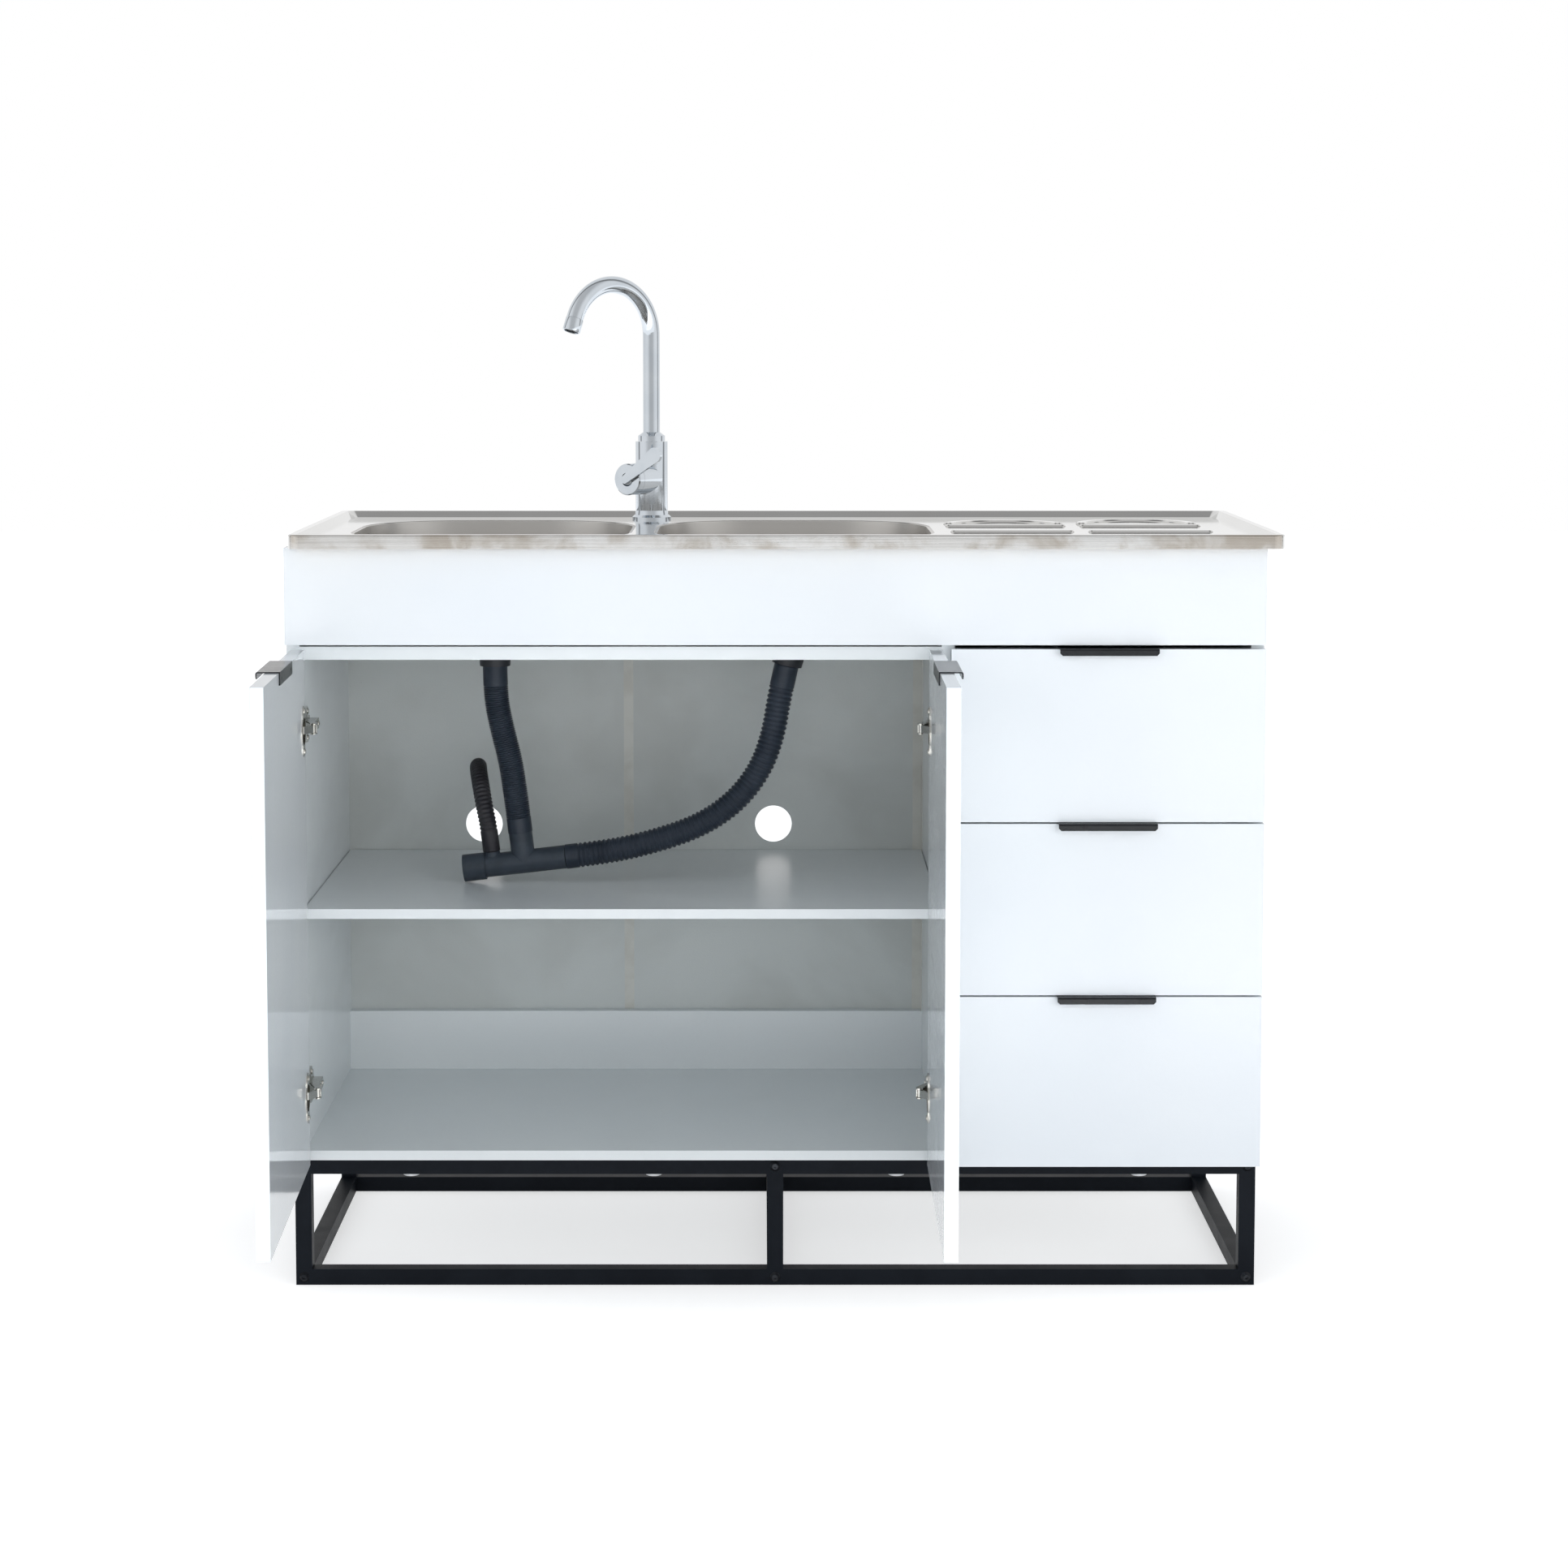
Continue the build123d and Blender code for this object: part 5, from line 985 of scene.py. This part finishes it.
HINGE_HEIGHTS = (0.246, 0.696)
HINGED_FACES = ((-0.578, 1.0), (0.202, -1.0))  # x of the board's face, and the way it looks
PLATE_TOP, PLATE_SCREW_Y, PLATE_SCREW_RISE, PLATE_SCREW_RADIUS = 0.0031, -0.193, 0.0165, 0.0037
ARM_TOP, ARM_SCREW_YS, ARM_SCREW_RADIUS = 0.0151, (-0.200, -0.184), 0.0032
HUNG_DOORS = (("left_door", -0.5865, 1.0, 88.0), ("right_door", 0.2025, -1.0, 89.6))
DOOR_AXIS_Y = -0.248
CUP_FROM_AXIS, FLANGE_FROM_AXIS, CUP_SCREW_RISE, CUP_SCREW_RADIUS = 0.015, 0.0172, 0.0245, 0.0036


def hinge_fixings():
    """Screws of the mounting plates and the arms, and of the cup flanges on the doors."""
    plate_places, arm_places = [], []
    for face_x, side in HINGED_FACES:
        way = (side, 0.0, 0.0)
        for z in HINGE_HEIGHTS:
            for rise in (-PLATE_SCREW_RISE, PLATE_SCREW_RISE):
                plate_places.append(((face_x + side * PLATE_TOP, PLATE_SCREW_Y, z + rise), way))
            for y in ARM_SCREW_YS:
                arm_places.append(((face_x + side * ARM_TOP, y, z), way))
    fixings("hinge_plate_screws", "cabinet", plate_places, PLATE_SCREW_RADIUS, NICKEL, SCREW_HEAD)
    fixings("hinge_arm_screws", "cabinet", arm_places, ARM_SCREW_RADIUS, NICKEL, SCREW_HEAD)
    for body, axis_x, side, degrees in HUNG_DOORS:
        turn = math.radians(-side * degrees)
        across, deep = side * CUP_FROM_AXIS, FLANGE_FROM_AXIS
        x = axis_x + across * math.cos(turn) - deep * math.sin(turn)
        y = DOOR_AXIS_Y + across * math.sin(turn) + deep * math.cos(turn)
        way = (-math.sin(turn), math.cos(turn), 0.0)
        rises = (-CUP_SCREW_RISE, CUP_SCREW_RISE)
        places = [((x, y, z + rise), way) for z in HINGE_HEIGHTS for rise in rises]
        fixings(body + "_cup_screws", body, places, CUP_SCREW_RADIUS, NICKEL, SCREW_HEAD)


hinge_fixings()

COVER_X = 0.5931  # 0.9 mm inside the outer faces, so a cover stands 0.5 mm proud
COVER_RADIUS, BACK_SCREW_RADIUS = 0.0062, 0.0038
FLOOR_SCREWS_Z, FLOOR_SCREW_YS = 0.166, (-0.17, 0.0, 0.16)
RAIL_SCREWS_Y, RAIL_SCREW_ZS = 0.204, (0.212, 0.79)
BACK_FACE_Y = 0.2152
BACK_SCREW_ZS = (0.166, 0.212, 0.79, 0.91)
BACK_SCREW_XS = (-0.56, -0.385, -0.215, -0.18, 0.01, 0.18, 0.24, 0.40, 0.56)


def board_covers():
    """White covers over the carcass screws on the outer sides, and pan heads along the back."""
    covers = []
    for side in (-1.0, 1.0):
        spots = [(y, FLOOR_SCREWS_Z) for y in FLOOR_SCREW_YS] + [(RAIL_SCREWS_Y, z) for z in RAIL_SCREW_ZS]
        covers += [((side * COVER_X, y, z), (side, 0.0, 0.0)) for y, z in spots]
    fixings("side_screw_covers", "cabinet", covers, COVER_RADIUS, CAP_PLASTIC, COVER_HEAD)
    heads = [((x, BACK_FACE_Y, z), (0.0, 1.0, 0.0)) for z in BACK_SCREW_ZS for x in BACK_SCREW_XS]
    fixings("back_panel_screws", "cabinet", heads, BACK_SCREW_RADIUS, ZINC, SCREW_HEAD)


board_covers()

# ---- Studio ---------------------------------------------------------------------------


FLOOR_HALF = 14.0
GLOW_STRETCH = (1.6, 3.6, 1.0)  # the glow is weakest in a long oval under the unit, a painted shade there
PAINTED_SHADE_NEAR, GLOW_FAR = (0.9, 0.56), (2.0, 0.86)  # stretched distance and strength


def seen_rays(tree):
    """Outputs that are one for camera rays, and one for camera, glossy and transmission rays."""
    rays = put(tree, "ShaderNodeLightPath")
    seen = arithmetic(tree, "MAXIMUM", rays.outputs["Is Camera Ray"], rays.outputs["Is Glossy Ray"])
    seen = arithmetic(tree, "MAXIMUM", seen, rays.outputs["Is Transmission Ray"])
    return rays.outputs["Is Camera Ray"], seen


def pale_floor():
    """A white floor that keeps its soft shadow, with its glow weaker under the unit as painted shade."""
    mesh = bpy.data.meshes.new("studio_floor")
    far = FLOOR_HALF
    mesh.from_pydata([(-far, -far, 0), (far, -far, 0), (far, far, 0), (-far, far, 0)], [], [(0, 1, 2, 3)])
    material = bpy.data.materials.new("studio_floor")
    material.use_nodes = True
    tree = material.node_tree
    tree.nodes.remove(tree.nodes["Principled BSDF"])
    surface = put(tree, "ShaderNodeBsdfDiffuse")
    surface.inputs["Color"].default_value = (0.8, 0.8, 0.8, 1)
    glow = put(tree, "ShaderNodeEmission")
    place = put(tree, "ShaderNodeTexCoord")
    outline = put(tree, "ShaderNodeVectorMath", operation="MULTIPLY")
    outline.inputs[1].default_value = GLOW_STRETCH
    reach = put(tree, "ShaderNodeVectorMath", operation="LENGTH")
    (near_at, near_glow), (far_at, far_glow) = PAINTED_SHADE_NEAR, GLOW_FAR
    # A weaker glow near the unit paints shade on the floor under it.
    glow_with_painted_shade = ranged(tree, reach.outputs["Value"], near_at, far_at, near_glow, far_glow)
    _, seen = seen_rays(tree)
    both = put(tree, "ShaderNodeAddShader")
    wire(
        tree,
        place.outputs["Object"], outline.inputs[0],
        outline.outputs["Vector"], reach.inputs[0],
        arithmetic(tree, "MULTIPLY", seen, glow_with_painted_shade), glow.inputs["Strength"],
        surface.outputs[0], both.inputs[0],
        glow.outputs[0], both.inputs[1],
        both.outputs[0], tree.nodes["Material Output"].inputs["Surface"],
    )
    mesh.materials.append(material)
    placed("studio_floor", mesh)


DARK_BAND_Y = 0.16  # where reflections see a dark gap between the white walls


def studio_world():
    """White behind the object, softer whites in its reflections, and a plain pale light."""
    world = bpy.data.worlds.new("studio_world")
    bpy.context.scene.world = world
    world.use_nodes = True
    tree = world.node_tree
    light = tree.nodes["Background"]
    light.inputs["Color"].default_value = (0.93, 0.96, 1.0, 1)
    light.inputs["Strength"].default_value = 0.5
    white = put(tree, "ShaderNodeBackground")
    white.inputs["Color"].default_value = (1, 1, 1, 1)
    place = put(tree, "ShaderNodeTexCoord")
    way = put(tree, "ShaderNodeSeparateXYZ")
    aside = ranged(tree, arithmetic(tree, "ABSOLUTE", way.outputs["X"]), 0.25, 0.85, 0.64, 1.0)
    behind = ranged(tree, way.outputs["Y"], -0.2, 0.5, 0.64, 0.95)
    beside = arithmetic(tree, "ABSOLUTE", arithmetic(tree, "SUBTRACT", way.outputs["Y"], DARK_BAND_Y))
    gap = ranged(tree, beside, 0.05, 0.2, 0.35, 1.0)
    look = arithmetic(tree, "MULTIPLY", arithmetic(tree, "MAXIMUM", aside, behind), gap)
    camera, seen = seen_rays(tree)
    mix = put(tree, "ShaderNodeMixShader")
    wire(
        tree,
        place.outputs["Generated"], way.inputs[0],
        arithmetic(tree, "MAXIMUM", camera, look), white.inputs["Strength"],
        seen, mix.inputs["Fac"],
        light.outputs[0], mix.inputs[1],
        white.outputs[0], mix.inputs[2],
        mix.outputs[0], tree.nodes["World Output"].inputs["Surface"],
    )


LAMPS = (  # name, place, what it looks at, size in metres, watts, spread in degrees
    ("front_right_box", (3.4, -4.0, 1.7), (0.0, -0.1, 0.5), (3.6, 3.0), 56.0, 180.0),
    ("front_left_box", (-3.6, -3.8, 1.6), (0.0, -0.1, 0.5), (3.4, 3.0), 40.0, 180.0),
    ("mid_front_box", (0.6, -5.4, 1.2), (0.0, 0.0, 0.4), (3.0, 1.6), 40.0, 180.0),
    ("floor_box", (0.0, -2.0, 2.1), (0.0, -1.95, 0.0), (3.4, 1.2), 34.0, 64.0),
)


def soft_box(name, place, target, size, power, spread):
    """A large soft lamp that looks at a point and shows in no reflection."""
    lamp = bpy.data.lights.new(name, "AREA")
    lamp.shape = "RECTANGLE"
    lamp.size, lamp.size_y = size
    lamp.energy = power
    lamp.spread = math.radians(spread)
    holder = placed(name, lamp)
    holder.location = place
    look = Vector(target) - Vector(place)
    holder.rotation_euler = look.to_track_quat("-Z", "Y").to_euler()
    holder.visible_glossy = False


pale_floor()
studio_world()
for lamp_values in LAMPS:
    soft_box(*lamp_values)
bpy.context.scene.view_settings.view_transform = "Standard"
